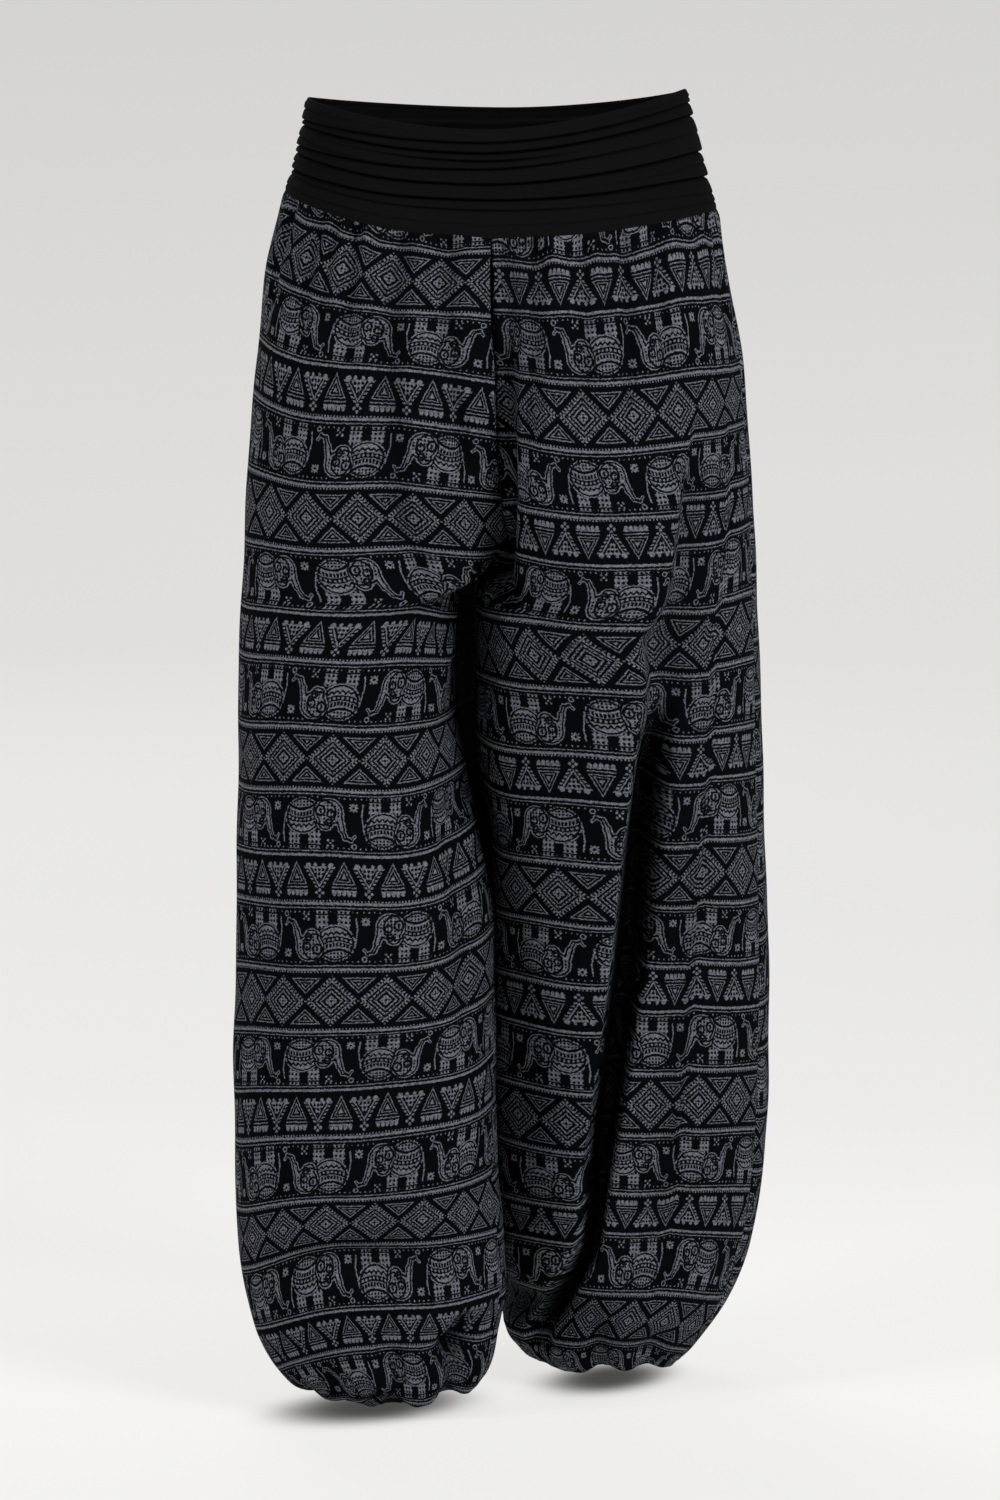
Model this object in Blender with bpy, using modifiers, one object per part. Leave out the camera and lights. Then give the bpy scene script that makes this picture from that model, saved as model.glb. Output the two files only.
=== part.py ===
"""Harem pants: a ruched jersey waistband over four wide leg panels of printed cloth.

The garment stands as it does when worn. Its origin is the middle of the waistband, the front faces -Y and
the wearer's left side is +X. Every panel is an open sheet, placed point by point from sections of the leg,
with a Solidify modifier for the cloth's thickness.
"""
import math

import bpy
import bmesh
import numpy as np

# Cloth and seams, in metres
CLOTH = 0.0020          # wall of a leg panel
JERSEY = 0.0028         # wall of the waistband, which is folded double
SEAM_GAP = 0.0003       # between two pieces that are sewn together
SEAM_STRIP = 0.0025     # a narrow column beside each seam keeps the two walls' edges parallel

# Waistband: its top ring and how high it stands at each side
TOP_HALF_WIDTH = 0.1457
TOP_HALF_DEPTH = 0.1025
TOP_SHIFT = -0.0040     # the top ring sits a little towards the right leg
TOP_ROUND = 2.2         # exponent of the ring, 2 for an ellipse
TOP_HEIGHT = {"front": 0.0170, "left": 0.0475, "back": 0.0330, "right": 0.0405}
TOP_SWEEP = 1.2         # how soon the rim rises from its middles to its sides

# Leg sections
ROUND = 2.15            # exponent of the leg's rounded sections
CROTCH = 0.285          # length of cloth from the waist seam down to the crotch
CROTCH_BLEND = 0.05     # length of cloth over which a section turns from a part of the hips to a leg
HEM = 1.02              # length of cloth from the waist seam down to the ankle's edge

# A row for each section of a leg. "down" is the length of cloth below the waist seam. "x" is measured
# outwards from the centre plane. A section passes through its outer, front, inner and back points, and
# above the crotch its inner point is parted into one on the front seam and one on the back seam.
SECTION = ("down", "outer_z", "front_z", "inner_front_z", "back_z", "inner_back_z", "outer_x", "outer_y",
           "front_x", "front_y", "inner_x", "inner_front_y", "inner_back_y", "back_x", "back_y")
RIGHT_LEG = (
    (0.0000, -.0300, -.0623, -.0655, -.0480, -.0500, .1666, .000, .030, -.118, -.0030, -.1175, .1215, .030, .122),
    (0.0625, -.0915, -.1192, -.1256, -.1060, -.1080, .1810, .000, .050, -.130, -.0030, -.1130, .1290, .045, .136),
    (0.1105, -.1426, -.1622, -.1760, -.1520, -.1540, .1868, .000, .060, -.135, -.0030, -.1030, .1290, .055, .144),
    (0.1475, -.1845, -.2012, -.2164, -.1900, -.1920, .1905, -.005, .070, -.138, -.0035, -.0900, .1220, .065, .147),
    (0.1965, -.2382, -.2497, -.2620, -.2400, -.2360, .1942, -.008, .080, -.140, -.0040, -.0740, .1000, .080, .144),
    (0.2485, -.2934, -.2985, -.2870, -.2920, -.2720, .1966, -.012, .090, -.142, -.0050, -.0390, .0560, .090, .136),
    (0.2850, -.3310, -.3340, -.2920, -.3280, -.2920, .1980, -.015, .098, -.143, -.0050, .0000, .0000, .095, .129),
    (0.3000, -.3460, -.3490, -.3030, -.3430, -.3030, .1985, -.016, .100, -.143, .0255, -.0060, -.0060, .098, .126),
    (0.3335, -.3800, -.3820, -.3560, -.3760, -.3560, .1990, -.020, .107, -.143, .0335, -.0140, -.0140, .104, .121),
    (0.3825, -.4324, -.4309, -.4180, -.4250, -.4180, .1995, -.024, .112, -.144, .0335, -.0200, -.0200, .108, .117),
    (0.4345, -.4835, -.4783, -.4690, -.4760, -.4690, .2000, -.028, .111, -.146, .0255, -.0240, -.0240, .108, .115),
    (0.4825, -.5323, -.5252, -.5120, -.5230, -.5120, .2004, -.030, .110, -.148, .0165, -.0280, -.0280, .107, .112),
    (0.5685, -.6220, -.6095, -.5940, -.6070, -.5940, .2012, -.037, .107, -.150, .0022, -.0350, -.0350, .104, .100),
    (0.6685, -.7193, -.6990, -.6890, -.7020, -.6890, .2015, -.043, .104, -.151, .0010, -.0420, -.0420, .102, .072),
    (0.7545, -.8097, -.7830, -.7750, -.7860, -.7750, .1997, -.048, .102, -.150, .0000, -.0470, -.0470, .100, .057),
    (0.8065, -.8579, -.8215, -.8210, -.8280, -.8210, .1958, -.050, .100, -.147, -.0058, -.0500, -.0500, .098, .052),
    (0.8545, -.9035, -.8690, -.8660, -.8690, -.8660, .1863, -.050, .097, -.141, -.0078, -.0510, -.0510, .095, .043),
    (0.8915, -.9350, -.9020, -.9020, -.9020, -.9020, .1680, -.051, .093, -.134, -.0022, -.0520, -.0520, .091, .033),
    (0.9250, -.9470, -.9350, -.9310, -.9300, -.9310, .1520, -.052, .089, -.125, .0045, -.0520, -.0520, .087, .021),
    (0.9500, -.9450, -.9530, -.9460, -.9450, -.9460, .1410, -.052, .086, -.114, .0170, -.0520, -.0520, .085, .008),
    (0.9700, -.9330, -.9530, -.9450, -.9440, -.9450, .1325, -.052, .085, -.104, .0340, -.0520, -.0520, .085, -.002),
    (0.9900, -.9170, -.9370, -.9310, -.9300, -.9310, .1290, -.052, .085, -.098, .0410, -.0520, -.0520, .085, -.008),
    (1.0200, -.8900, -.9080, -.9020, -.9020, -.9020, .1280, -.052, .085, -.096, .0430, -.0520, -.0520, .085, -.009),
)
LEFT_LEG = (
    (0.0000, -.0450, -.0640, -.0655, -.0500, -.0500, .1650, .000, .030, -.118, .0036, -.1175, .1215, .030, .122),
    (0.0550, -.1093, -.1195, -.1173, -.1060, -.1010, .1763, .000, .050, -.130, .0036, -.1145, .1280, .045, .136),
    (0.1030, -.1640, -.1700, -.1640, -.1560, -.1470, .1850, .001, .060, -.135, .0036, -.1051, .1292, .055, .146),
    (0.1550, -.2160, -.2217, -.2137, -.2060, -.1990, .1890, .004, .070, -.136, .0041, -.0880, .1195, .065, .151),
    (0.2040, -.2680, -.2706, -.2650, -.2560, -.2410, .1935, .008, .080, -.134, .0046, -.0700, .0950, .080, .152),
    (0.2410, -.3040, -.3075, -.2850, -.2930, -.2680, .1948, .012, .086, -.131, .0055, -.0450, .0620, .088, .151),
    (0.2850, -.3520, -.3500, -.2920, -.3370, -.2920, .1958, .016, .092, -.127, .0056, .0000, .0000, .096, .150),
    (0.3000, -.3660, -.3650, -.3050, -.3520, -.3050, .1965, .017, .093, -.125, -.0195, .0080, .0080, .098, .150),
    (0.3410, -.4050, -.4040, -.3840, -.3940, -.3840, .1980, .021, .095, -.118, -.0205, .0140, .0140, .100, .148),
    (0.3900, -.4560, -.4524, -.4410, -.4440, -.4410, .1998, .024, .094, -.111, -.0215, .0200, .0200, .100, .147),
    (0.4270, -.4924, -.4888, -.4800, -.4810, -.4800, .2008, .027, .093, -.104, -.0175, .0240, .0240, .100, .147),
    (0.4750, -.5400, -.5365, -.5280, -.5280, -.5280, .2025, .030, .091, -.096, -.0100, .0350, .0350, .100, .148),
    (0.5760, -.6400, -.6292, -.6240, -.6270, -.6240, .2050, .037, .090, -.080, -.0090, .0430, .0430, .102, .150),
    (0.6610, -.7260, -.7122, -.7110, -.7110, -.7110, .2045, .043, .090, -.068, -.0095, .0460, .0460, .103, .153),
    (0.7130, -.7760, -.7603, -.7600, -.7590, -.7600, .2025, .046, .091, -.062, -.0090, .0470, .0470, .102, .154),
    (0.7620, -.8220, -.8029, -.8040, -.8030, -.8040, .1975, .048, .092, -.057, -.0085, .0470, .0470, .100, .153),
    (0.7990, -.8550, -.8327, -.8350, -.8350, -.8350, .1912, .049, .092, -.053, -.0080, .0490, .0490, .098, .150),
    (0.8470, -.8985, -.8768, -.8770, -.8780, -.8770, .1735, .050, .091, -.045, -.0060, .0500, .0500, .095, .142),
    (0.8800, -.9240, -.9050, -.9060, -.9070, -.9060, .1570, .050, .090, -.035, -.0058, .0500, .0500, .092, .133),
    (0.9100, -.9410, -.9300, -.9310, -.9300, -.9310, .1422, .050, .088, -.022, .0030, .0500, .0500, .090, .120),
    (0.9400, -.9470, -.9460, -.9460, -.9455, -.9460, .1330, .050, .087, -.009, .0220, .0500, .0500, .087, .106),
    (0.9600, -.9380, -.9460, -.9450, -.9450, -.9450, .1280, .050, .086, .001, .0350, .0500, .0500, .086, .097),
    (0.9800, -.9220, -.9320, -.9310, -.9310, -.9310, .1260, .050, .086, .006, .0430, .0500, .0500, .086, .092),
    (1.0200, -.8880, -.8980, -.8980, -.8980, -.8980, .1250, .050, .086, .008, .0460, .0500, .0500, .086, .091),
)

LEGS = {"right": RIGHT_LEG, "left": LEFT_LEG}
SIGN = {"right": -1.0, "left": 1.0}     # the side of the centre plane, along X

# Below the crotch the right thigh fills out behind its front inner edge. A row tells how far behind that
# edge the thigh's back begins, and how much nearer the centre plane it lies there.
THIGH = ("down", "behind", "nearer")
THIGHS = {
    "right": ((CROTCH, .000, .0000), (0.3000, .022, .0010), (0.3335, .072, .0095), (0.3825, .095, .0110),
              (0.4345, .102, .0070), (0.4825, .105, .0040), (0.5200, .114, -.0030), (0.5685, .080, -.0130),
              (0.6685, .000, .0000), (HEM, .000, .0000)),
    "left": ((CROTCH, .000, .0000), (HEM, .000, .0000)),
}

# How far a seam runs ahead of the leg's widest or innermost point, a row for each place down the leg
SEAM_ROUTE = ("down", "right_side", "left_side", "right_inseam")
SEAM_ROUTES = (
    (0.00, 0.000, 0.004, 0.000),
    (0.10, 0.000, 0.012, 0.000),
    (0.30, 0.000, 0.030, 0.000),
    (0.45, 0.000, 0.035, 0.000),
    (0.70, 0.000, 0.040, 0.012),
    (0.80, 0.000, 0.040, 0.024),
    (0.90, 0.000, 0.030, 0.020),
    (1.02, 0.000, 0.010, 0.000),
)

# Folds of the panels, a row each. A fold runs down the cloth from "top" to "low". Its place across the
# panel is 0 at the side seam and 1 at the inner edge, and "bow" bends its middle. It stands "lift" out of
# the cloth, or lies in it where that is negative, and fades over "side" towards the side seam and over
# "inner" towards the inner edge.
FOLD = ("top", "low", "top_place", "low_place", "bow", "side", "inner", "top_lift", "low_lift")
LEFT_FRONT_FOLDS = (
    (0.03, 0.92, 0.28, 0.62, -.030, .008, .042, 0.006, 0.013),
    (0.05, 0.90, 0.22, 0.53, -.030, .026, .011, -.005, -.016),
    (0.10, 0.86, 0.19, 0.33, -.010, .012, .014, -.002, -.006),
    (0.30, 0.92, 0.74, 0.80, 0.000, .030, .030, 0.002, 0.006),
    (-.03, 0.13, 0.87, 0.82, 0.000, .009, .009, -.004, -.003),
    (-.03, 0.09, 0.69, 0.68, 0.000, .008, .008, -.003, -.002),
    (-.03, 0.08, 0.56, 0.55, 0.000, .008, .008, -.003, -.002),
    (-.03, 0.07, 0.44, 0.43, 0.000, .008, .008, -.003, -.002),
    (-.03, 0.06, 0.10, 0.10, 0.000, .008, .008, -.003, -.002),
    (0.80, 1.04, 0.74, 0.72, 0.000, .014, .010, -.006, -.007),
    (0.86, 1.04, 0.46, 0.44, 0.000, .010, .010, -.005, -.006),
    (0.86, 1.04, 0.22, 0.24, 0.000, .011, .011, -.004, -.006),
    (0.92, 1.06, 0.90, 0.90, 0.000, .007, .007, -.003, -.005),
    (0.92, 1.06, 0.60, 0.59, 0.000, .007, .007, -.003, -.005),
    (0.92, 1.06, 0.33, 0.34, 0.000, .007, .007, -.003, -.005),
    (0.93, 1.06, 0.13, 0.13, 0.000, .007, .007, -.002, -.003),
)
RIGHT_FRONT_FOLDS = (
    (-.03, 0.19, 0.71, 0.71, 0.010, .012, .010, -.004, -.004),
    (-.03, 0.14, 0.85, 0.86, 0.000, .010, .010, -.003, -.003),
    (-.03, 0.09, 0.56, 0.58, 0.000, .008, .008, -.003, -.002),
    (-.03, 0.08, 0.40, 0.42, 0.000, .008, .008, -.003, -.002),
    (-.03, 0.07, 0.22, 0.23, 0.000, .008, .008, -.003, -.002),
    (0.31, 0.45, 0.96, 0.60, 0.000, .016, .018, 0.005, 0.002),
    (0.46, 0.64, 0.79, 0.83, 0.000, .014, .014, -.004, -.004),
    (0.62, 0.90, 0.56, 0.64, 0.020, .030, .024, -.003, -.004),
    (0.86, 0.97, 0.84, 0.80, 0.000, .012, .012, -.008, -.008),
    (0.88, 1.04, 0.62, 0.60, 0.000, .011, .011, -.004, -.006),
    (0.88, 1.04, 0.42, 0.42, 0.000, .011, .011, -.004, -.006),
    (0.88, 1.04, 0.22, 0.24, 0.000, .011, .011, -.004, -.006),
    (0.92, 1.06, 0.73, 0.72, 0.000, .007, .007, -.003, -.005),
    (0.92, 1.06, 0.51, 0.51, 0.000, .007, .007, -.003, -.005),
    (0.92, 1.06, 0.32, 0.33, 0.000, .007, .007, -.003, -.005),
    (0.92, 1.06, 0.10, 0.11, 0.000, .007, .007, -.003, -.005),
)
LEFT_BACK_FOLDS = (
    (-.03, 0.24, 0.78, 0.70, 0.020, .020, .020, -.004, -.004),
    (-.03, 0.15, 0.52, 0.50, 0.000, .018, .018, -.003, -.003),
    (-.03, 0.12, 0.26, 0.27, 0.000, .018, .018, -.003, -.003),
    (0.12, 0.88, 0.34, 0.42, 0.020, .026, .034, 0.004, 0.009),
    (0.16, 0.86, 0.26, 0.33, 0.020, .028, .022, -.003, -.009),
    (0.34, 0.90, 0.78, 0.66, 0.030, .030, .030, -.003, -.007),
    (0.86, 1.04, 0.50, 0.50, 0.000, .022, .022, -.006, -.006),
    (0.86, 1.04, 0.76, 0.74, 0.000, .020, .020, -.005, -.006),
    (0.92, 1.06, 0.24, 0.25, 0.000, .012, .012, -.003, -.005),
    (0.94, 1.06, 0.64, 0.64, 0.000, .011, .011, -.002, -.003),
    (0.93, 1.06, 0.89, 0.88, 0.000, .010, .010, -.002, -.004),
)
RIGHT_BACK_FOLDS = (
    (-.03, 0.22, 0.74, 0.68, 0.010, .020, .020, -.004, -.004),
    (-.03, 0.16, 0.48, 0.50, 0.000, .018, .018, -.003, -.003),
    (-.03, 0.11, 0.24, 0.23, 0.000, .018, .018, -.003, -.003),
    (0.20, 0.90, 0.58, 0.48, -.020, .030, .026, 0.003, 0.008),
    (0.24, 0.88, 0.66, 0.58, -.020, .024, .028, -.003, -.008),
    (0.40, 0.92, 0.28, 0.34, 0.020, .028, .028, -.003, -.007),
    (0.86, 1.04, 0.52, 0.50, 0.000, .022, .022, -.006, -.006),
    (0.86, 1.04, 0.26, 0.26, 0.000, .020, .020, -.005, -.006),
    (0.93, 1.06, 0.12, 0.12, 0.000, .010, .010, -.002, -.004),
    (0.93, 1.06, 0.39, 0.39, 0.000, .010, .010, -.002, -.004),
    (0.92, 1.06, 0.77, 0.76, 0.000, .012, .012, -.003, -.005),
)
SEAM_CALM = 0.06        # share of a panel's width, at each seam, over which its folds die out
FADE = 0.14             # share of a fold's length over which it rises and dies out

# Ruched folds of the waistband, a row each. "height" is a share of the band, "lift" half its relief,
# and it wanders by "drift" as it runs round, "waves" times, starting at "start" turns.
RUCHE = ("height", "lift", "drift", "waves", "start")
RUCHES = (
    (0.055, 0.0010, 0.006, 2, 0.10),
    (0.150, 0.0013, 0.016, 2, 0.35),
    (0.250, 0.0016, 0.020, 3, 0.62),
    (0.345, 0.0014, 0.018, 2, 0.05),
    (0.440, 0.0017, 0.022, 3, 0.48),
    (0.535, 0.0014, 0.020, 2, 0.80),
    (0.630, 0.0016, 0.018, 3, 0.22),
    (0.725, 0.0015, 0.016, 2, 0.57),
    (0.820, 0.0013, 0.014, 3, 0.90),
    (0.925, 0.0012, 0.006, 2, 0.30),
)

SAMPLES = 60            # points on each quarter of a section

# Grids: rows down the leg as (from, to, number), columns across a panel and round the band
ROW_STEPS = ((0.000, 0.060, 4), (0.060, 0.235, 6), (0.235, CROTCH, 3), (CROTCH, 0.345, 4),
             (0.345, 0.850, 13), (0.850, HEM, 9))
FRONT_COLUMNS = 25
BACK_COLUMNS = 17
BAND_COLUMNS = 44


def remove_all():
    """Start from an empty file."""
    for thing in list(bpy.data.objects):
        bpy.data.objects.remove(thing, do_unlink=True)


def material(name, colour, roughness):
    """A matt cloth."""
    made = bpy.data.materials.new(name)
    made.use_nodes = True
    shader = made.node_tree.nodes["Principled BSDF"]
    shader.inputs["Base Color"].default_value = (*colour, 1.0)
    shader.inputs["Roughness"].default_value = roughness
    shader.inputs["Metallic"].default_value = 0.0
    return made


def ease(t):
    """0 to 1, with a level start and end."""
    t = np.clip(t, 0.0, 1.0)
    return t * t * (3.0 - 2.0 * t)


def smooth_through(at, knots, values):
    """A curve through the knots that never swings past them: cubic steps, with the harmonic mean of the
    two neighbouring slopes at each knot, and a level turn where they change sign."""
    step = np.diff(knots)
    slope = np.diff(values) / step
    turn = slope[:-1] * slope[1:]
    mean = np.where(turn > 0, 2.0 * turn / np.where(turn > 0, slope[:-1] + slope[1:], 1.0), 0.0)
    tangent = np.concatenate([slope[:1], mean, slope[-1:]])
    i = int(np.clip(np.searchsorted(knots, at, side="right") - 1, 0, len(step) - 1))
    t = (at - knots[i]) / step[i]
    start = values[i] * (2 * t**3 - 3 * t**2 + 1) + tangent[i] * step[i] * (t**3 - 2 * t**2 + t)
    end = values[i + 1] * (3 * t**2 - 2 * t**3) + tangent[i + 1] * step[i] * (t**3 - t**2)
    return start + end


def section_at(side, down):
    """One section of a leg, by name, at a length of cloth below the waist seam."""
    table = np.array(LEGS[side])
    named = {name: smooth_through(down, table[:, 0], table[:, k]) for k, name in enumerate(SECTION)}
    named["down"] = down
    rows = np.array(THIGHS[side])
    thigh = {name: smooth_through(max(down, CROTCH), rows[:, 0], rows[:, k]) for k, name in enumerate(THIGH)}
    named["inner_front_x"] = named["inner_x"]
    named["inner_back_x"] = named["inner_x"] - thigh["nearer"]
    named["inner_back_y"] += thigh["behind"]
    return named


def running_length(points):
    """Length of a line of points up to each of them."""
    return np.concatenate([[0.0], np.cumsum(np.linalg.norm(np.diff(points, axis=0), axis=1))])


def half_section(cut, face):
    """The section from its outer point to its inner point, along its front or its back: two quarters of
    a rounded oblong, which meet at the point furthest forward or back."""
    turn = np.linspace(0.0, math.pi / 2, SAMPLES)
    near_0 = np.abs(np.cos(turn)) ** (2.0 / ROUND)
    near_1 = np.abs(np.sin(turn)) ** (2.0 / ROUND)
    far_x, far_y, far_z = (cut[face + axis] for axis in ("_x", "_y", "_z"))
    inner_x, inner_y, inner_z = (cut["inner_" + face + axis] for axis in ("_x", "_y", "_z"))
    outer = np.stack([far_x + (cut["outer_x"] - far_x) * near_0,
                      cut["outer_y"] + (far_y - cut["outer_y"]) * near_1], axis=1)
    inner = np.stack([far_x + (inner_x - far_x) * near_1,
                      inner_y + (far_y - inner_y) * near_0], axis=1)
    outer_run = running_length(outer)
    inner_run = running_length(inner)
    below = float(np.clip((cut["down"] - CROTCH) / CROTCH_BLEND + 1.0, 0.0, 1.0))
    outer_z = cut["outer_z"] + (far_z - cut["outer_z"]) * ease(outer_run / outer_run[-1])
    share = inner_run / inner_run[-1]
    inner_z = far_z + (inner_z - far_z) * ((1.0 - below) * share ** 1.3 + below * ease(share ** 1.7))
    flat = np.concatenate([outer, inner[1:]])
    height = np.concatenate([outer_z, inner_z[1:]])
    return np.column_stack([flat, height])


def whole_section(cut):
    """The section's points from the inner back round the outside to the inner front, and how far each
    lies from the outer point, forwards being positive. Below the crotch the two inner ends are joined
    along the inside of the thigh."""
    front = half_section(cut, "front")
    back = half_section(cut, "back")
    if cut["down"] > CROTCH and cut["inner_back_y"] - cut["inner_front_y"] > SEAM_GAP:
        t = np.linspace(0.0, 1.0, SAMPLES // 2)[1:]
        link = back[-1] + (front[-1] - back[-1]) * np.column_stack([ease(t), t, ease(t)])
        back = np.concatenate([back, link])
    points = np.concatenate([back[::-1], front[1:]])
    place = np.concatenate([-running_length(back)[::-1], running_length(front)[1:]])
    return points, place


def read_section(points, place, wanted):
    """Points at the wanted places round a section. A place behind the inner back point is read on from
    the inner front point, since the two are one below the crotch."""
    slack = 1e-9
    wrapped = np.where(wanted < place[0] - slack, wanted + place[-1] - place[0], wanted)
    return np.column_stack([np.interp(wrapped, place, points[:, axis]) for axis in range(3)])


def row_lengths():
    """How far down the cloth each row of a panel lies."""
    rows = [np.linspace(start, end, count, endpoint=False) for start, end, count in ROW_STEPS]
    return np.append(np.concatenate(rows), HEM)


def panel_columns(name, down, length):
    """Places of a panel's columns from the side seam, 0, to the inner edge, 1. On the left front they
    crowd round its main fold, whose sharp edge needs them."""
    strip = SEAM_STRIP / length
    share = np.linspace(0.0, 1.0, (FRONT_COLUMNS if name.endswith("front") else BACK_COLUMNS) - 1)
    if name == "left_front":
        top, low, top_place, low_place, bow = LEFT_FRONT_FOLDS[0][:5]
        t = min(max((down - top) / (low - top), 0.0), 1.0)
        edge = top_place + (low_place - top_place) * t + bow * 4.0 * t * (1.0 - t)
        share = np.interp(share, [0.0, 0.24, 0.44, 0.56, 1.0],
                          [0.0, edge - 0.13, edge - 0.01, edge + 0.06, 1.0])
    return np.concatenate([[0.0], strip + (1.0 - 2.0 * strip) * share, [1.0]])


def base_grid(name, side):
    """A panel without its folds: its points, and the length of each row."""
    route = dict(zip(SEAM_ROUTE, np.array(SEAM_ROUTES).T))
    inseam = route["right_inseam"] if side == "right" else np.zeros(len(SEAM_ROUTES))
    grid, lengths, places = [], [], []
    for down in row_lengths():
        points, place = whole_section(section_at(side, down))
        ahead = np.interp(down, route["down"], inseam)
        seam = np.interp(down, route["down"], route[side + "_side"])
        if name.endswith("front"):
            start, end = seam + SEAM_GAP / 2, place[-1] - ahead - SEAM_GAP / 2
        else:
            start, end = seam - SEAM_GAP / 2, place[0] - ahead + SEAM_GAP / 2
        columns = panel_columns(name, down, abs(end - start))
        row = read_section(points, place, start + (end - start) * columns)
        row[:, 0] *= SIGN[side]
        grid.append(row)
        lengths.append(abs(end - start))
        places.append(columns)
    return np.array(grid), np.array(lengths), np.array(places)


def outward(grid, flip):
    """Unit normals of a grid of points."""
    down = np.gradient(grid, axis=0)
    across = np.gradient(grid, axis=1)
    normal = np.cross(across, down) * flip
    return normal / np.linalg.norm(normal, axis=2, keepdims=True)


def fold_height(folds, down, places, lengths):
    """How far the folds lift each point of a panel."""
    lift = np.zeros_like(places)
    for row in folds:
        fold = dict(zip(FOLD, row))
        t = (down - fold["top"]) / (fold["low"] - fold["top"])
        along = np.clip(t, 0.0, 1.0)
        centre = fold["top_place"] + (fold["low_place"] - fold["top_place"]) * along
        centre = centre + fold["bow"] * 4.0 * along * (1.0 - along)
        offset = (places - centre[:, None]) * lengths[:, None]
        width = np.where(offset < 0.0, fold["side"], fold["inner"])
        height = fold["top_lift"] + (fold["low_lift"] - fold["top_lift"]) * along
        height = height * ease(t / FADE) * ease((1.0 - t) / FADE)
        lift += height[:, None] * np.exp(-((offset / width) ** 2))
    calm = ease(places / SEAM_CALM) * ease((1.0 - places) / SEAM_CALM)
    return lift * calm


def sheet(name, points, look, wall, home, closed=False):
    """An open sheet through a grid of points, thickened inwards by its wall."""
    rows, columns = points.shape[:2]
    work = bmesh.new()
    bmesh.ops.create_grid(work, x_segments=columns - 1, y_segments=rows - 1, size=1.0)
    for vertex in work.verts:
        column = round((vertex.co.x + 1.0) / 2.0 * (columns - 1))
        row = round((vertex.co.y + 1.0) / 2.0 * (rows - 1))
        vertex.co = points[row, column]
    if closed:
        bmesh.ops.remove_doubles(work, verts=work.verts, dist=0.00005)
    work.normal_update()
    middle = min(work.faces, key=lambda face: (face.calc_center_median().y, face.index))
    if middle.normal.y > 0.0:
        bmesh.ops.reverse_faces(work, faces=work.faces)
    mesh = bpy.data.meshes.new(name)
    work.to_mesh(mesh)
    work.free()
    mesh.materials.append(look)
    piece = bpy.data.objects.new(name, mesh)
    home.objects.link(piece)
    thick = piece.modifiers.new("cloth", "SOLIDIFY")
    thick.thickness = wall
    thick.offset = -1.0
    return piece


def leg_panel(side, face, folds, home):
    """One of the four leg panels."""
    name = side + "_" + face
    grid, lengths, places = base_grid(name, side)
    flip = SIGN[side] if face == "front" else -SIGN[side]
    lift = fold_height(folds, row_lengths(), places, lengths)
    points = grid + outward(grid, flip) * lift[:, :, None]
    look = material(name + "_cloth", (0.055, 0.058, 0.075), 0.9)
    return sheet(name, points, look, CLOTH, home)


def waist_ring():
    """The waist seam, from the centre front round the wearer's left side and the back."""
    left = whole_section(section_at("left", 0.0))[0]
    right = whole_section(section_at("right", 0.0))[0] * (SIGN["right"], 1.0, 1.0)
    return np.concatenate([left[::-1], right])


def waistband(home):
    """The band: rings from the waist seam to the rim, with its ruched folds as crests and hollows."""
    seam = waist_ring()
    run = running_length(seam)
    turn = np.linspace(0.0, 1.0, BAND_COLUMNS + 1)
    low = np.column_stack([np.interp(turn * run[-1], run, seam[:, axis]) for axis in range(3)])
    low[:, 2] += SEAM_GAP
    low[-1] = low[0]
    angle = np.arctan2(low[:, 0] / TOP_HALF_WIDTH, -low[:, 1] / TOP_HALF_DEPTH)
    reach = (np.abs(np.sin(angle)) ** TOP_ROUND + np.abs(np.cos(angle)) ** TOP_ROUND) ** (-1.0 / TOP_ROUND)
    side = np.where(np.sin(angle) > 0.0, TOP_HEIGHT["left"], TOP_HEIGHT["right"])
    middle = np.where(np.cos(angle) > 0.0, TOP_HEIGHT["front"], TOP_HEIGHT["back"])
    high = np.column_stack([TOP_SHIFT + TOP_HALF_WIDTH * reach * np.sin(angle),
                            -TOP_HALF_DEPTH * reach * np.cos(angle),
                            middle + (side - middle) * np.abs(np.sin(angle)) ** TOP_SWEEP])
    crests, hollows, lifts = [], [], []
    for row in RUCHES:
        ruche = dict(zip(RUCHE, row))
        sway = np.sin(2.0 * math.pi * (ruche["waves"] * turn + ruche["start"]))
        crests.append(ruche["height"] + ruche["drift"] * sway)
        lifts.append(ruche["lift"] * (1.0 + 0.35 * np.cos(2.0 * math.pi * (turn * 3.0 + ruche["start"]))))
    for below, above in zip(crests[:-1], crests[1:]):
        hollows.append((below + above) / 2.0)
    heights = [np.zeros_like(turn)]
    reliefs = [np.zeros_like(turn)]
    for k, crest in enumerate(crests):
        heights.append(crest)
        reliefs.append(lifts[k])
        if k < len(hollows):
            heights.append(hollows[k])
            reliefs.append(-(lifts[k] + lifts[k + 1]) / 2.0)
    heights.append(np.ones_like(turn))
    reliefs.append(np.zeros_like(turn))
    away = np.column_stack([np.sin(angle), -np.cos(angle), np.zeros_like(angle)])
    rings = [low + (high - low) * h[:, None] + away * r[:, None] for h, r in zip(heights, reliefs)]
    look = material("waistband_jersey", (0.012, 0.012, 0.013), 0.85)
    return sheet("waistband", np.array(rings), look, JERSEY, home, closed=True)


def build():
    """All five pieces, in one collection."""
    remove_all()
    home = bpy.data.collections.new("harem_pants")
    bpy.context.scene.collection.children.link(home)
    waistband(home)
    leg_panel("right", "front", RIGHT_FRONT_FOLDS, home)
    leg_panel("left", "front", LEFT_FRONT_FOLDS, home)
    leg_panel("right", "back", RIGHT_BACK_FOLDS, home)
    leg_panel("left", "back", LEFT_BACK_FOLDS, home)


build()
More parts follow.
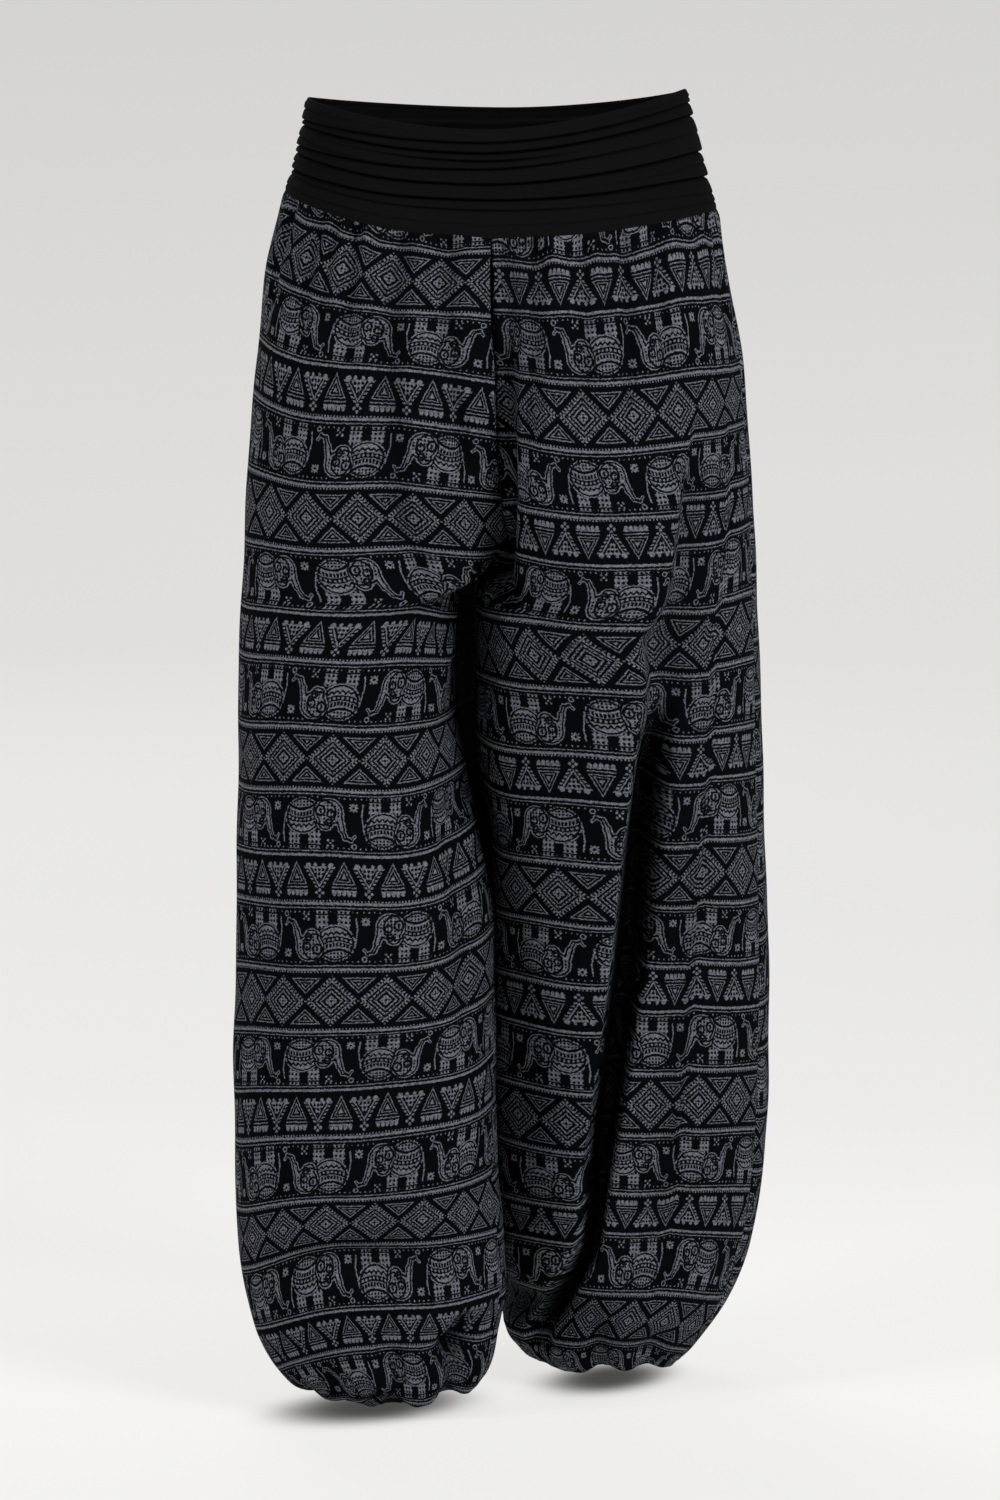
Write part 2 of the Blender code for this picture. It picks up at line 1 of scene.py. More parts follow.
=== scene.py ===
"""Harem pants: four wide leg panels of printed cloth, gathered into a ruched jersey waistband.

Metres, +Z up. The front faces -Y and the wearer's left side is +X. The garment stands as it does when it is
worn, hollow and filled out, over a pale studio floor.
"""
import math
from functools import reduce

import bpy
import numpy as np
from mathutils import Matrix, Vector


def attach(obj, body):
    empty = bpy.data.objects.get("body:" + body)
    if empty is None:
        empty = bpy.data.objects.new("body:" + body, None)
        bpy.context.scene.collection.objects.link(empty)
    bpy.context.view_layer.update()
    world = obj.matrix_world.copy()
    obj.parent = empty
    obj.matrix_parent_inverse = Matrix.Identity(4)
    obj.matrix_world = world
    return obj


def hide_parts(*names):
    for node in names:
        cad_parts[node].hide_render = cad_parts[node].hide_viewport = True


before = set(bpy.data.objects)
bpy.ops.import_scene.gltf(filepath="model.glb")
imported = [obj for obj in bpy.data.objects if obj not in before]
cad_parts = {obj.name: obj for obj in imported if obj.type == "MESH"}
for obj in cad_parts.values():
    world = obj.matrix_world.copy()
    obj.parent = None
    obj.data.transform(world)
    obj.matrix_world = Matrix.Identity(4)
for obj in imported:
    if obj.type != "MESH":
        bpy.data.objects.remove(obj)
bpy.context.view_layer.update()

home = bpy.context.scene.collection


# ---- Camera ----
# A long lens level with the waist, turned a little to the wearer's left. Half by its tilt and half by its
# shift it brings the hems into the picture, so that the legs stay nearly upright.
IMAGE_WIDTH = 1000
IMAGE_HEIGHT = 1500
CAMERA_TURN = math.radians(5.5)
CAMERA_TILT = math.radians(3.5)
CAMERA_DISTANCE = 3.8
FOCAL_PIXELS = 4943.0  # the lens in pixels of the image
AHEAD_PIXEL = (502, 453)  # where the point straight ahead of the lens falls in the image
SENSOR_HEIGHT = 36.0

lens = bpy.data.cameras.new("camera")
lens.sensor_fit = "VERTICAL"
lens.sensor_height = SENSOR_HEIGHT
lens.lens = FOCAL_PIXELS / IMAGE_HEIGHT * SENSOR_HEIGHT
lens.shift_x = (IMAGE_WIDTH / 2 - AHEAD_PIXEL[0]) / IMAGE_HEIGHT
lens.shift_y = (AHEAD_PIXEL[1] - IMAGE_HEIGHT / 2) / IMAGE_HEIGHT
camera = bpy.data.objects.new("camera", lens)
camera.location = (CAMERA_DISTANCE * math.sin(CAMERA_TURN), -CAMERA_DISTANCE * math.cos(CAMERA_TURN), 0.0)
camera.rotation_euler = (math.pi / 2 - CAMERA_TILT, 0.0, CAMERA_TURN)
home.objects.link(camera)
bpy.context.scene.camera = camera


# ---- Legs: the form that the panels are cut for ----
# Sections of each leg, from the waist seam down the front, under the bulge of the ankle and up to the hem.
# A section passes through its outer, front, inner and back points. "x" is measured outwards from the
# centre plane, and "down" is the length of cloth below the waist seam. From the crotch down a row ends with
# the inner front point, which is then the inner back one too.
ROUND = 2.15  # exponent of the leg's rounded sections
CROTCH = 0.285  # length of cloth from the waist seam down to the crotch
CROTCH_BLEND = 0.05  # length of cloth over which a section turns from a part of the hips to a leg
HEM = 1.02  # length of cloth from the waist seam down to the ankle's edge
SAMPLES = 120  # points on each quarter of a section
SEAM_FALL = 1.3  # how late a section's height turns towards the centre seam
INSEAM_FALL = 1.7  # and towards the inseam, below the crotch
SIGN = {"right": -1.0, "left": 1.0}

SECTION = ("down", "outer_z", "front_z", "back_z", "outer_x", "outer_y", "front_x", "front_y", "back_x",
           "back_y", "inner_x", "inner_front_y", "inner_front_z", "inner_back_y", "inner_back_z")
RIGHT_LEG = (
    (0.0000, -.0300, -.0623, -.0480, .1666, .000, .030, -.118, .030, .122, -.0033, -.1175, -.0655, .1215, -.0500),
    (0.0625, -.0915, -.1192, -.1060, .1810, .000, .050, -.130, .045, .136, -.0033, -.1130, -.1256, .1290, -.1080),
    (0.1105, -.1426, -.1622, -.1520, .1868, .000, .060, -.135, .055, .144, -.0033, -.1030, -.1760, .1290, -.1540),
    (0.1475, -.1845, -.2012, -.1900, .1905, -.005, .070, -.138, .065, .147, -.0038, -.0900, -.2164, .1220, -.1920),
    (0.1965, -.2382, -.2497, -.2400, .1942, -.008, .080, -.140, .080, .144, -.0043, -.0740, -.2620, .1000, -.2360),
    (0.2485, -.2934, -.2985, -.2920, .1966, -.012, .090, -.142, .090, .136, -.0053, -.0390, -.2870, .0560, -.2720),
    (0.2850, -.3310, -.3340, -.3280, .1980, -.015, .098, -.143, .095, .129, -.0053, .0000, -.2920),
    (0.3000, -.3460, -.3490, -.3430, .1985, -.016, .100, -.143, .098, .126, .0255, -.0060, -.3030),
    (0.3335, -.3800, -.3820, -.3760, .1990, -.020, .107, -.143, .104, .121, .0335, -.0140, -.3560),
    (0.3825, -.4324, -.4309, -.4250, .1995, -.024, .112, -.144, .108, .117, .0335, -.0200, -.4180),
    (0.4345, -.4835, -.4783, -.4760, .2000, -.028, .111, -.146, .108, .115, .0255, -.0240, -.4690),
    (0.4825, -.5323, -.5252, -.5230, .2004, -.030, .110, -.148, .107, .112, .0165, -.0280, -.5120),
    (0.5685, -.6220, -.6095, -.6070, .2012, -.037, .107, -.150, .104, .100, .0022, -.0350, -.5940),
    (0.6685, -.7193, -.6990, -.7020, .2015, -.043, .104, -.151, .102, .072, .0010, -.0420, -.6890),
    (0.7545, -.8097, -.7830, -.7860, .1997, -.048, .102, -.150, .100, .057, .0000, -.0470, -.7750),
    (0.8065, -.8579, -.8215, -.8280, .1958, -.050, .100, -.147, .098, .052, -.0058, -.0500, -.8210),
    (0.8545, -.9035, -.8690, -.8690, .1863, -.050, .097, -.141, .095, .043, -.0078, -.0510, -.8660),
    (0.8915, -.9350, -.9020, -.9020, .1680, -.051, .093, -.134, .091, .033, -.0022, -.0520, -.9020),
    (0.9250, -.9470, -.9350, -.9300, .1520, -.052, .089, -.125, .087, .021, .0045, -.0520, -.9310),
    (0.9500, -.9450, -.9530, -.9450, .1410, -.052, .086, -.114, .085, .008, .0170, -.0520, -.9460),
    (0.9700, -.9330, -.9530, -.9440, .1325, -.052, .085, -.104, .085, -.002, .0340, -.0520, -.9450),
    (0.9900, -.9170, -.9370, -.9300, .1290, -.052, .085, -.098, .085, -.008, .0410, -.0520, -.9310),
    (1.0200, -.8900, -.9080, -.9020, .1280, -.052, .085, -.096, .085, -.009, .0430, -.0520, -.9020),
)
LEFT_LEG = (
    (0.0000, -.0450, -.0640, -.0500, .1650, .000, .030, -.118, .030, .122, .0033, -.1175, -.0655, .1215, -.0500),
    (0.0550, -.1093, -.1195, -.1060, .1763, .000, .050, -.130, .045, .136, .0033, -.1145, -.1173, .1280, -.1010),
    (0.1030, -.1640, -.1700, -.1560, .1850, .001, .060, -.135, .055, .146, .0033, -.1051, -.1640, .1292, -.1470),
    (0.1550, -.2160, -.2217, -.2060, .1890, .004, .070, -.136, .065, .151, .0038, -.0880, -.2137, .1195, -.1990),
    (0.2040, -.2680, -.2706, -.2560, .1935, .008, .080, -.134, .080, .152, .0043, -.0700, -.2650, .0950, -.2410),
    (0.2410, -.3040, -.3075, -.2930, .1948, .012, .086, -.131, .088, .151, .0053, -.0450, -.2850, .0620, -.2680),
    (0.2850, -.3520, -.3500, -.3370, .1958, .016, .092, -.127, .096, .150, .0053, .0000, -.2920),
    (0.3000, -.3660, -.3650, -.3520, .1965, .017, .093, -.125, .098, .150, -.0195, .0080, -.3050),
    (0.3410, -.4050, -.4040, -.3940, .1980, .021, .095, -.118, .100, .148, -.0205, .0140, -.3840),
    (0.3900, -.4560, -.4524, -.4440, .1998, .024, .094, -.111, .100, .147, -.0215, .0200, -.4410),
    (0.4270, -.4924, -.4888, -.4810, .2008, .027, .093, -.104, .100, .147, -.0175, .0240, -.4800),
    (0.4750, -.5400, -.5365, -.5280, .2025, .030, .091, -.096, .100, .148, -.0108, .0350, -.5280),
    (0.5760, -.6400, -.6292, -.6270, .2050, .037, .090, -.080, .102, .150, -.0140, .0430, -.6240),
    (0.6610, -.7260, -.7122, -.7110, .2045, .043, .090, -.068, .103, .153, -.0165, .0460, -.7110),
    (0.7130, -.7760, -.7603, -.7590, .2025, .046, .091, -.062, .102, .154, -.0160, .0470, -.7600),
    (0.7620, -.8220, -.8029, -.8030, .1975, .048, .092, -.057, .100, .153, -.0140, .0470, -.8040),
    (0.7990, -.8550, -.8327, -.8350, .1912, .049, .092, -.053, .098, .150, -.0115, .0490, -.8350),
    (0.8470, -.8985, -.8768, -.8780, .1735, .050, .091, -.045, .095, .142, -.0060, .0500, -.8770),
    (0.8800, -.9240, -.9050, -.9070, .1570, .050, .090, -.035, .092, .133, -.0058, .0500, -.9060),
    (0.9100, -.9410, -.9300, -.9300, .1422, .050, .088, -.022, .090, .120, .0030, .0500, -.9310),
    (0.9400, -.9470, -.9460, -.9455, .1330, .050, .087, -.009, .087, .106, .0220, .0500, -.9460),
    (0.9600, -.9380, -.9460, -.9450, .1280, .050, .086, .001, .086, .097, .0350, .0500, -.9450),
    (0.9800, -.9220, -.9320, -.9310, .1260, .050, .086, .006, .086, .092, .0430, .0500, -.9310),
    (1.0200, -.8880, -.8980, -.8980, .1250, .050, .086, .008, .086, .091, .0460, .0500, -.8980),
)
LEGS = {"right": RIGHT_LEG, "left": LEFT_LEG}

# The centre seam, front and back, which both legs share down to the crotch, here from its low end up
CENTRE_SEAM = ("front_z", "front_y", "back_z", "back_y")
CENTRE_SEAMS = (
    (-.2920, .0000, -.2920, .0000),
    (-.2860, -.0420, -.2700, .0590),
    (-.2635, -.0718, -.2385, .0975),
    (-.2150, -.0890, -.1955, .1208),
    (-.1760, -.1029, -.1505, .1291),
    (-.1215, -.1136, -.1045, .1285),
    (-.0655, -.1175, -.0500, .1215),
)

# Below the crotch the right thigh fills out behind its front inner edge. A row tells how far behind that
# edge the thigh's back begins, and how much nearer the centre plane it lies there.
THIGH = ("down", "behind", "nearer")
THIGHS = {
    "right": ((CROTCH, .000, .0000), (0.3000, .022, .0010), (0.3335, .072, .0095), (0.3825, .095, .0110),
              (0.4345, .102, .0070), (0.4825, .105, .0040), (0.5200, .114, -.0030), (0.5685, .080, -.0130),
              (0.6685, .000, .0000), (HEM, .000, .0000)),
    "left": ((CROTCH, .000, .0000), (HEM, .000, .0000)),
}

# How far a seam runs ahead of the leg's widest or innermost point, at places down the leg
SEAM_ROUTES = {
    "right_side": ((0.00, 0.000), (1.02, 0.000)),
    "left_side": ((0.00, 0.004), (0.10, 0.012), (0.30, 0.030), (0.45, 0.035), (0.70, 0.040), (0.80, 0.040),
                  (0.90, 0.030), (1.02, 0.010)),
    "right_inseam": ((0.45, 0.000), (0.70, 0.012), (0.80, 0.024), (0.90, 0.020), (1.02, 0.000)),
    "left_inseam": ((0.00, 0.000), (1.02, 0.000)),
}


def ease(t):
    """0 to 1, with a level start and end: 3 t^2 - 2 t^3."""
    t = np.clip(t, 0.0, 1.0)
    return t * t * (3.0 - 2.0 * t)


def between(value, ends):
    """0 before the first of two ends, 1 beyond the second, and eased from one to the other."""
    return ease((value - ends[0]) / (ends[1] - ends[0]))


def through(at, knots, values):
    """A curve through the knots that never swings past them: cubic steps, with the harmonic mean of the two
    neighbouring slopes at each knot, and a level turn where they change sign."""
    knots = np.asarray(knots)
    values = np.asarray(values)
    step = np.diff(knots)
    slope = np.diff(values) / step
    turn = slope[:-1] * slope[1:]
    mean = np.where(turn > 0, 2.0 * turn / np.where(turn > 0, slope[:-1] + slope[1:], 1.0), 0.0)
    tangent = np.concatenate([slope[:1], mean, slope[-1:]])
    i = np.clip(np.searchsorted(knots, at, side="right") - 1, 0, len(step) - 1)
    t = (at - knots[i]) / step[i]
    start = values[i] * (2 * t**3 - 3 * t**2 + 1) + tangent[i] * step[i] * (t**3 - 2 * t**2 + t)
    end = values[i + 1] * (3 * t**2 - 2 * t**3) + tangent[i + 1] * step[i] * (t**3 - t**2)
    return start + end


def columns_of(rows, names, at):
    """Each named column of a table, as a curve read at the wanted values of its first column."""
    table = np.array(rows)
    return {name: through(at, table[:, 0], table[:, k]) for k, name in enumerate(names)}


def running_length(points):
    """Length along each row of points, up to each of them."""
    step = np.linalg.norm(np.diff(points, axis=1), axis=2)
    return np.concatenate([np.zeros((len(points), 1)), np.cumsum(step, axis=1)], axis=1)


def half_rings(cut, face):
    """Each section from its outer to its inner point, along its front or back: two quarters of a rounded
    oblong, |x|^n + |y|^n = 1 in its own half axes, which meet at the point furthest forward or back."""
    turn = np.linspace(0.0, math.pi / 2, SAMPLES)
    near_0 = np.abs(np.cos(turn)) ** (2.0 / ROUND)
    near_1 = np.abs(np.sin(turn)) ** (2.0 / ROUND)
    far_x, far_y, far_z = (cut[face + axis] for axis in ("_x", "_y", "_z"))
    inner_x, inner_y, inner_z = (cut["inner_" + face + axis] for axis in ("_x", "_y", "_z"))
    outer = np.stack([far_x + (cut["outer_x"] - far_x) * near_0,
                      cut["outer_y"] + (far_y - cut["outer_y"]) * near_1], axis=2)
    inner = np.stack([far_x + (inner_x - far_x) * near_1,
                      inner_y + (far_y - inner_y) * near_0], axis=2)
    outer_run = running_length(outer)
    inner_run = running_length(inner)
    below = np.clip((cut["down"] - CROTCH) / CROTCH_BLEND + 1.0, 0.0, 1.0)
    outer_z = cut["outer_z"] + (far_z - cut["outer_z"]) * ease(outer_run / outer_run[:, -1:])
    share = inner_run / inner_run[:, -1:]
    fall = (1.0 - below) * share ** SEAM_FALL + below * ease(share ** INSEAM_FALL)
    inner_z = far_z + (inner_z - far_z) * fall
    flat = np.concatenate([outer, inner[:, 1:]], axis=1)
    height = np.concatenate([outer_z, inner_z[:, 1:]], axis=1)
    return np.concatenate([flat, height[:, :, None]], axis=2)


def leg_rings(side, down):
    """Sections of a leg at lengths of cloth below the waist seam, each from the inner back round the outside
    to the inner front, and how far each point lies from the outer point, forwards being positive."""
    cut = columns_of([(row + row[-2:])[:len(SECTION)] for row in LEGS[side]], SECTION, down)
    thigh = columns_of(THIGHS[side], THIGH, np.maximum(down, CROTCH))
    seam = {name: np.array(column) for name, column in zip(CENTRE_SEAM, zip(*CENTRE_SEAMS))}
    above = down < CROTCH
    for face in ("front", "back"):
        on_seam = through(cut[f"inner_{face}_z"], seam[face + "_z"], seam[face + "_y"])
        cut[f"inner_{face}_y"] = np.where(above, on_seam, cut[f"inner_{face}_y"])
    cut["inner_front_x"] = cut["inner_x"]
    cut["inner_back_x"] = cut["inner_x"] - thigh["nearer"]
    cut["inner_back_y"] = cut["inner_back_y"] + thigh["behind"]
    cut = {name: column[:, None] for name, column in cut.items()}
    front = half_rings(cut, "front")
    back = half_rings(cut, "back")
    t = np.linspace(0.0, 1.0, SAMPLES // 2)[1:]
    linked = ((~above) & (thigh["behind"] > 0.0))[:, None, None]
    way = np.column_stack([ease(t), t, ease(t)])[None]
    back = np.concatenate([back, back[:, -1:] + (front[:, -1:] - back[:, -1:]) * way * linked], axis=1)
    points = np.concatenate([back[:, ::-1], front[:, 1:]], axis=1)
    place = np.concatenate([-running_length(back)[:, ::-1], running_length(front)[:, 1:]], axis=1)
    return points, place


def read_ring(points, place, wanted):
    """Points at the wanted places round one section. A place behind the inner back point is read on from the
    inner front point, since the two are one below the crotch."""
    wrapped = np.where(wanted < place[0] - 1e-9, wanted + place[-1] - place[0], wanted)
    return np.column_stack([np.interp(wrapped, place, points[:, axis]) for axis in range(3)])


# ---- Leg panels: four sheets of printed cloth ----
# A light woven cloth, cut as a front and a back for each leg. The panels are gathered into the waist seam,
# joined at the sides, the centre and the inseams, and drawn in at the ankles.
CLOTH = 0.0008  # thickness of the cloth
ROWS = 300  # down a panel
COLUMNS = 160  # across a panel
SEAM_GROOVE = 0.0012  # how deep the cloth sinks along a seam
SEAM_SPREAD = 0.0032  # how far from the seam it still does
INSEAM_START = (0.40, 0.50)  # from where to where down the cloth the inseam's groove grows shallow
INSEAM_GROOVE = 0.3  # its depth below that, as a share of the other seams'
SEWN = 0.006  # how far from the waist and side seams the cloth is still held flat
SLACK = 0.1  # share of that length by which its folds run on past the waist seam
SEAM_CALM = (0.06, 0.03)  # share of a panel's width over which folds die out, at its side and inner edge
FADE = 0.14  # share of a fold's length over which it rises and dies out

# Folds, a row each. A fold runs down the cloth from "top" to "low". Its place across the panel is 0 at the
# side seam and 1 at the inner edge. It stands "lift" out of the cloth, or lies in it where that is negative,
# and fades over "side" towards the side seam and over "inner" towards the inner edge. "bow" bends its middle,
# and by its low end it leans over by "roll" towards the side seam: a row leaves them out where they are 0.
FOLD = ("top", "low", "top_place", "low_place", "side", "inner", "top_lift", "low_lift", "bow", "roll")
FOLDS = {
    "left_front": (
        (0.10, 0.90, 0.020, 0.030, .007, .040, 0.003, 0.014, 0.000, 0.016),
        (0.14, 0.60, -.060, -.050, .022, .015, -.009, -.014),
        (0.10, 0.86, 0.190, 0.330, .012, .014, -.003, -.007, -.010),
        (0.30, 0.92, 0.740, 0.800, .030, .030, 0.002, 0.006),
        (-.02, 0.33, 0.950, 0.890, .020, .011, -.012, -.014, 0.010),
        (-.03, 0.17, 0.860, 0.820, .008, .007, -.009, -.006),
        (-.03, 0.13, 0.690, 0.680, .006, .007, -.008, -.005),
        (-.03, 0.09, 0.620, 0.625, .005, .005, -.005, -.003),
        (-.03, 0.14, 0.560, 0.550, .007, .005, -.008, -.005),
        (-.03, 0.11, 0.440, 0.430, .006, .007, -.007, -.004),
        (-.03, 0.08, 0.100, 0.100, .007, .007, -.006, -.004),
        (0.86, 1.04, 0.440, 0.420, .012, .009, -.007, -.008),
        (0.87, 1.04, 0.200, 0.230, .010, .014, -.006, -.007),
        (0.92, 1.06, 0.900, 0.900, .008, .008, -.004, -.006),
    ),
    "right_front": (
        (-.03, 0.30, 0.740, 0.640, .009, .009, -.010, -.007, -.010),
        (-.03, 0.19, 0.870, 0.850, .008, .008, -.009, -.006),
        (-.03, 0.12, 0.560, 0.580, .007, .006, -.008, -.005),
        (-.03, 0.09, 0.480, 0.490, .005, .005, -.005, -.003),
        (-.03, 0.11, 0.400, 0.420, .007, .007, -.007, -.004),
        (-.03, 0.09, 0.220, 0.230, .006, .008, -.007, -.004),
        (0.02, 0.30, 0.965, 0.955, .018, .010, 0.002, 0.006),
        (0.31, 0.45, 0.960, 0.600, .016, .018, 0.005, 0.002),
        (0.46, 0.64, 0.790, 0.830, .014, .014, -.005, -.005),
        (0.62, 0.90, 0.560, 0.640, .030, .024, -.003, -.004, 0.020),
        (0.86, 0.98, 0.860, 0.800, .012, .012, -.012, -.012),
        (0.88, 1.04, 0.600, 0.580, .009, .013, -.006, -.008),
        (0.90, 1.04, 0.380, 0.400, .012, .009, -.005, -.007),
        (0.91, 1.04, 0.200, 0.220, .010, .010, -.004, -.006),
        (0.94, 1.06, 0.710, 0.710, .006, .006, -.003, -.005),
    ),
    "left_back": (
        (-.03, 0.24, 0.78, 0.70, .020, .020, -.004, -.004, 0.020),
        (-.03, 0.15, 0.52, 0.50, .018, .018, -.003, -.003),
        (-.03, 0.12, 0.26, 0.27, .018, .018, -.003, -.003),
        (0.12, 0.88, 0.34, 0.42, .026, .034, 0.004, 0.009, 0.020, 0.003),
        (0.16, 0.86, 0.26, 0.33, .028, .022, -.003, -.009, 0.020),
        (0.34, 0.90, 0.78, 0.66, .030, .030, -.003, -.007, 0.030),
        (0.86, 1.04, 0.50, 0.50, .022, .022, -.006, -.006),
        (0.86, 1.04, 0.76, 0.74, .020, .020, -.005, -.006),
        (0.92, 1.06, 0.24, 0.25, .012, .012, -.003, -.005),
        (0.94, 1.06, 0.64, 0.64, .011, .011, -.002, -.003),
        (0.93, 1.06, 0.89, 0.88, .010, .010, -.002, -.004),
    ),
    "right_back": (
        (-.03, 0.22, 0.74, 0.68, .020, .020, -.004, -.004, 0.010),
        (-.03, 0.16, 0.48, 0.50, .018, .018, -.003, -.003),
        (-.03, 0.11, 0.24, 0.23, .018, .018, -.003, -.003),
        (0.20, 0.90, 0.58, 0.48, .030, .026, 0.003, 0.008, -.020, -.003),
        (0.24, 0.88, 0.66, 0.58, .024, .028, -.003, -.008, -.020),
        (0.40, 0.92, 0.28, 0.34, .028, .028, -.003, -.007, 0.020),
        (0.86, 1.04, 0.52, 0.50, .022, .022, -.006, -.006),
        (0.86, 1.04, 0.26, 0.26, .020, .020, -.005, -.006),
        (0.93, 1.06, 0.12, 0.12, .010, .010, -.002, -.004),
        (0.93, 1.06, 0.39, 0.39, .010, .010, -.002, -.004),
        (0.92, 1.06, 0.77, 0.76, .012, .012, -.003, -.005),
    ),
}

# The left front's main fold laps over a deep slot. Its first two folds and the slot lie at places measured
# from the fold's edge, which wanders down the cloth. The slot's floor is flat and its walls steep.
MAIN_EDGE = ((0.000, 0.340), (0.090, 0.340), (0.150, 0.370), (0.210, 0.395), (0.310, 0.384), (0.450, 0.424),
             (0.560, 0.453), (0.670, 0.497), (0.750, 0.533), (0.805, 0.550), (0.832, 0.590), (0.853, 0.630),
             (0.900, 0.700), (1.020, 0.720))
MAIN_ROWS = 2
SLOTS = ((0.34, 0.92, -.052, -.022, .0125, .0120, -.036, -.054),)

# Dents and bulges, a row each: how far down the cloth, the place across it, half the height and half the
# width, and how far it stands out.
DENTS = {
    "left_front": ((0.864, 0.76, .020, .050, -.020), (0.818, 0.80, .018, .050, 0.005),
                   (0.900, 0.30, .016, .050, -.003)),
    "right_front": ((0.812, 0.50, .012, .060, -.007), (0.850, 0.50, .022, .070, 0.005),
                    (0.895, 0.82, .013, .018, -.019), (0.945, 0.52, .014, .014, -.012),
                    (0.560, 0.30, .060, .040, -.003), (0.455, 0.88, .016, .040, -.005)),
    "left_back": ((0.480, 0.45, .050, .050, -.003), (0.870, 0.62, .018, .050, -.008)),
    "right_back": ((0.520, 0.40, .050, .050, -.003), (0.880, 0.40, .018, .050, -.008)),
}

# How the printed cloth lies in each panel. The left leg is cut from cloth turned upside down. "across" and
# "along" are where the panel's side seam and waist seam lie in the print, and "drift" is how far the print
# lies towards the inner edge at the waist, in metres.
LAY = ("direction", "turned", "across", "along", "drift")
LAYS = {
    "right_front": (1.0, False, 0.000, -.0105, 0.028),
    "left_front": (1.0, True, -.041, 0.155, 0.000),
    "right_back": (-1.0, False, 0.046, -.0175, 0.000),
    "left_back": (-1.0, True, 0.021, 0.173, 0.000),
}
WAIST_CLOTH = 0.270  # width of cloth in a panel that shows at the waist
LEG_CLOTH = 0.336  # and from the thigh down
THIGH_DOWN = 0.30  # length of cloth from the waist seam down to where it has that width
DRIFT_FADE = (0.05, 0.60)  # from where to where down the cloth the drift fades

# Waves that pull the print out of line along the cloth: slow ones, each with its height and its lengths over
# 2 pi across and down, and a quick one at the waist, with its height and length, the swing and length of the
# wave that spaces it unevenly, and how far down it dies out
PULLS = ((.0013, .041, .090), (.0008, .019, -.070))
PUCKER = (.0022, .0071, 1.3, .023, .035)

# Painted shade on the print: how deep a fold has to be for its floor to get the full painted shade, where
# the ink hardly shows. The back of the right thigh gets the same painted shade between the legs: over what
# lengths of cloth that begins and ends, and over what places across the panel it begins.
FULL_PAINTED_SHADE_DEPTH = 0.026
PAINTED_SHADE_BETWEEN_LEGS = ((0.27, 0.31), (0.50, 0.62), (0.80, 0.88))

# Cloth that a fold of the left front hides: the fold's row in its table, how far beyond its crest the
# print steps, over what width, and how much of the print is hidden, along it and across it. The step along it
# fades above the hem, and the one across it begins below the hips.
HIDDEN = ((0, -.012, .006, .012, .048), (2, -.006, .006, .006, .000))
HIDDEN_FADE = (0.72, 0.92)
HIDDEN_START = (0.15, 0.40)

# From the crotch down to the thigh a panel's rows rise to the inner edge, but its print keeps its lie
LIE = 0.20  # length of cloth below the waist seam whose lie the print keeps
LIE_END = (0.32, 0.44)  # and where it follows the rows again
LIE_PLACE = 0.55  # place across the panel that the rows rise from
LIE_PLACES = (0.5, 0.7)  # places over which the print begins to keep its lie


def named_fold(row):
    """A fold's row with the names of its columns."""
    return dict(zip(FOLD, row + (0.0, 0.0)))


def fold_places(fold, down, from_main_edge):
    """Where a fold lies across the panel at each row, and how far along the fold that row is."""
    t = (down - fold["top"]) / (fold["low"] - fold["top"])
    along = np.clip(t, 0.0, 1.0)
    centre = fold["top_place"] + (fold["low_place"] - fold["top_place"]) * along
    if from_main_edge:
        centre = centre + through(down, *zip(*MAIN_EDGE))
    return centre + fold["bow"] * 4.0 * along * (1.0 - along), t


def fold_relief(name, down, places, lengths):
    """How far the folds and dents lift each point of a panel, and how far they carry it towards the side
    seam: a bell curve across each fold, with its own width on either side, which eases in and out along it.
    A slot's curve falls as the fourth power, and a dent's is a bell both ways."""
    lift = np.zeros_like(places)
    roll = np.zeros_like(places)
    main = name == "left_front"
    rows = [(row, main and k < MAIN_ROWS, 2) for k, row in enumerate(FOLDS[name])]
    rows += [(row, True, 4) for row in (SLOTS if main else ())]
    for row, from_main_edge, power in rows:
        fold = named_fold(row)
        centre, t = fold_places(fold, down, from_main_edge)
        offset = (places - centre[:, None]) * lengths[:, None]
        width = np.where(offset < 0.0, fold["side"], fold["inner"])
        strength = (ease(t / FADE) * ease((1.0 - t) / FADE))[:, None] * np.exp(-((offset / width) ** power))
        low_share = np.clip(t, 0.0, 1.0)[:, None]
        lift += (fold["top_lift"] + (fold["low_lift"] - fold["top_lift"]) * low_share) * strength
        roll += fold["roll"] * low_share * strength
    for at, place, high, wide, height in DENTS[name]:
        bell = ((down[:, None] - at) / high) ** 2 + ((places - place) * lengths[:, None] / wide) ** 2
        lift += height * np.exp(-bell)
    calm = ease(places / SEAM_CALM[0]) * ease((1.0 - places) / SEAM_CALM[1])
    return lift * calm, roll * calm


# Fine waves across the cloth, in millimetres: each one's share of the whole, its length over 2 pi, its phase
# in units of the panel's own, and a slower wave that spaces it unevenly, by its swing, length and phase.
PLEATS = ((0.55, 2.60, 1.0, 0.9, 17.0, 0.0), (0.45, 4.10, 1.7, 1.1, 29.0, 1.0))
POUCHES = ((0.50, 7.10, 1.0, 0.8, 31.0, 0.0), (0.50, 13.4, 2.3, 1.2, 27.0, 1.0))
PHASE = {"left_front": 0.7, "right_front": 2.1, "left_back": 3.9, "right_back": 5.2}
PLEAT_HEIGHT = 0.0016  # of the gathers at the waist seam
PLEAT_REACH = 0.028  # how far they reach down from it
REACH_WAVES = ((0.014, 13.0, 1.0), (0.008, 5.9, 0.0))  # and how unevenly: height, length over 2 pi and phase
PLEAT_FALL = 1.4  # exponent of how they die out
POUCH_HEIGHT = 0.0013  # of the broad gathers above the hem
POUCH_REACH = 1.3  # how much further those reach
HEM_PLEAT_HEIGHT = 0.0003  # of the narrow ones at the hem itself
HEM_PLEAT_REACH = 0.012
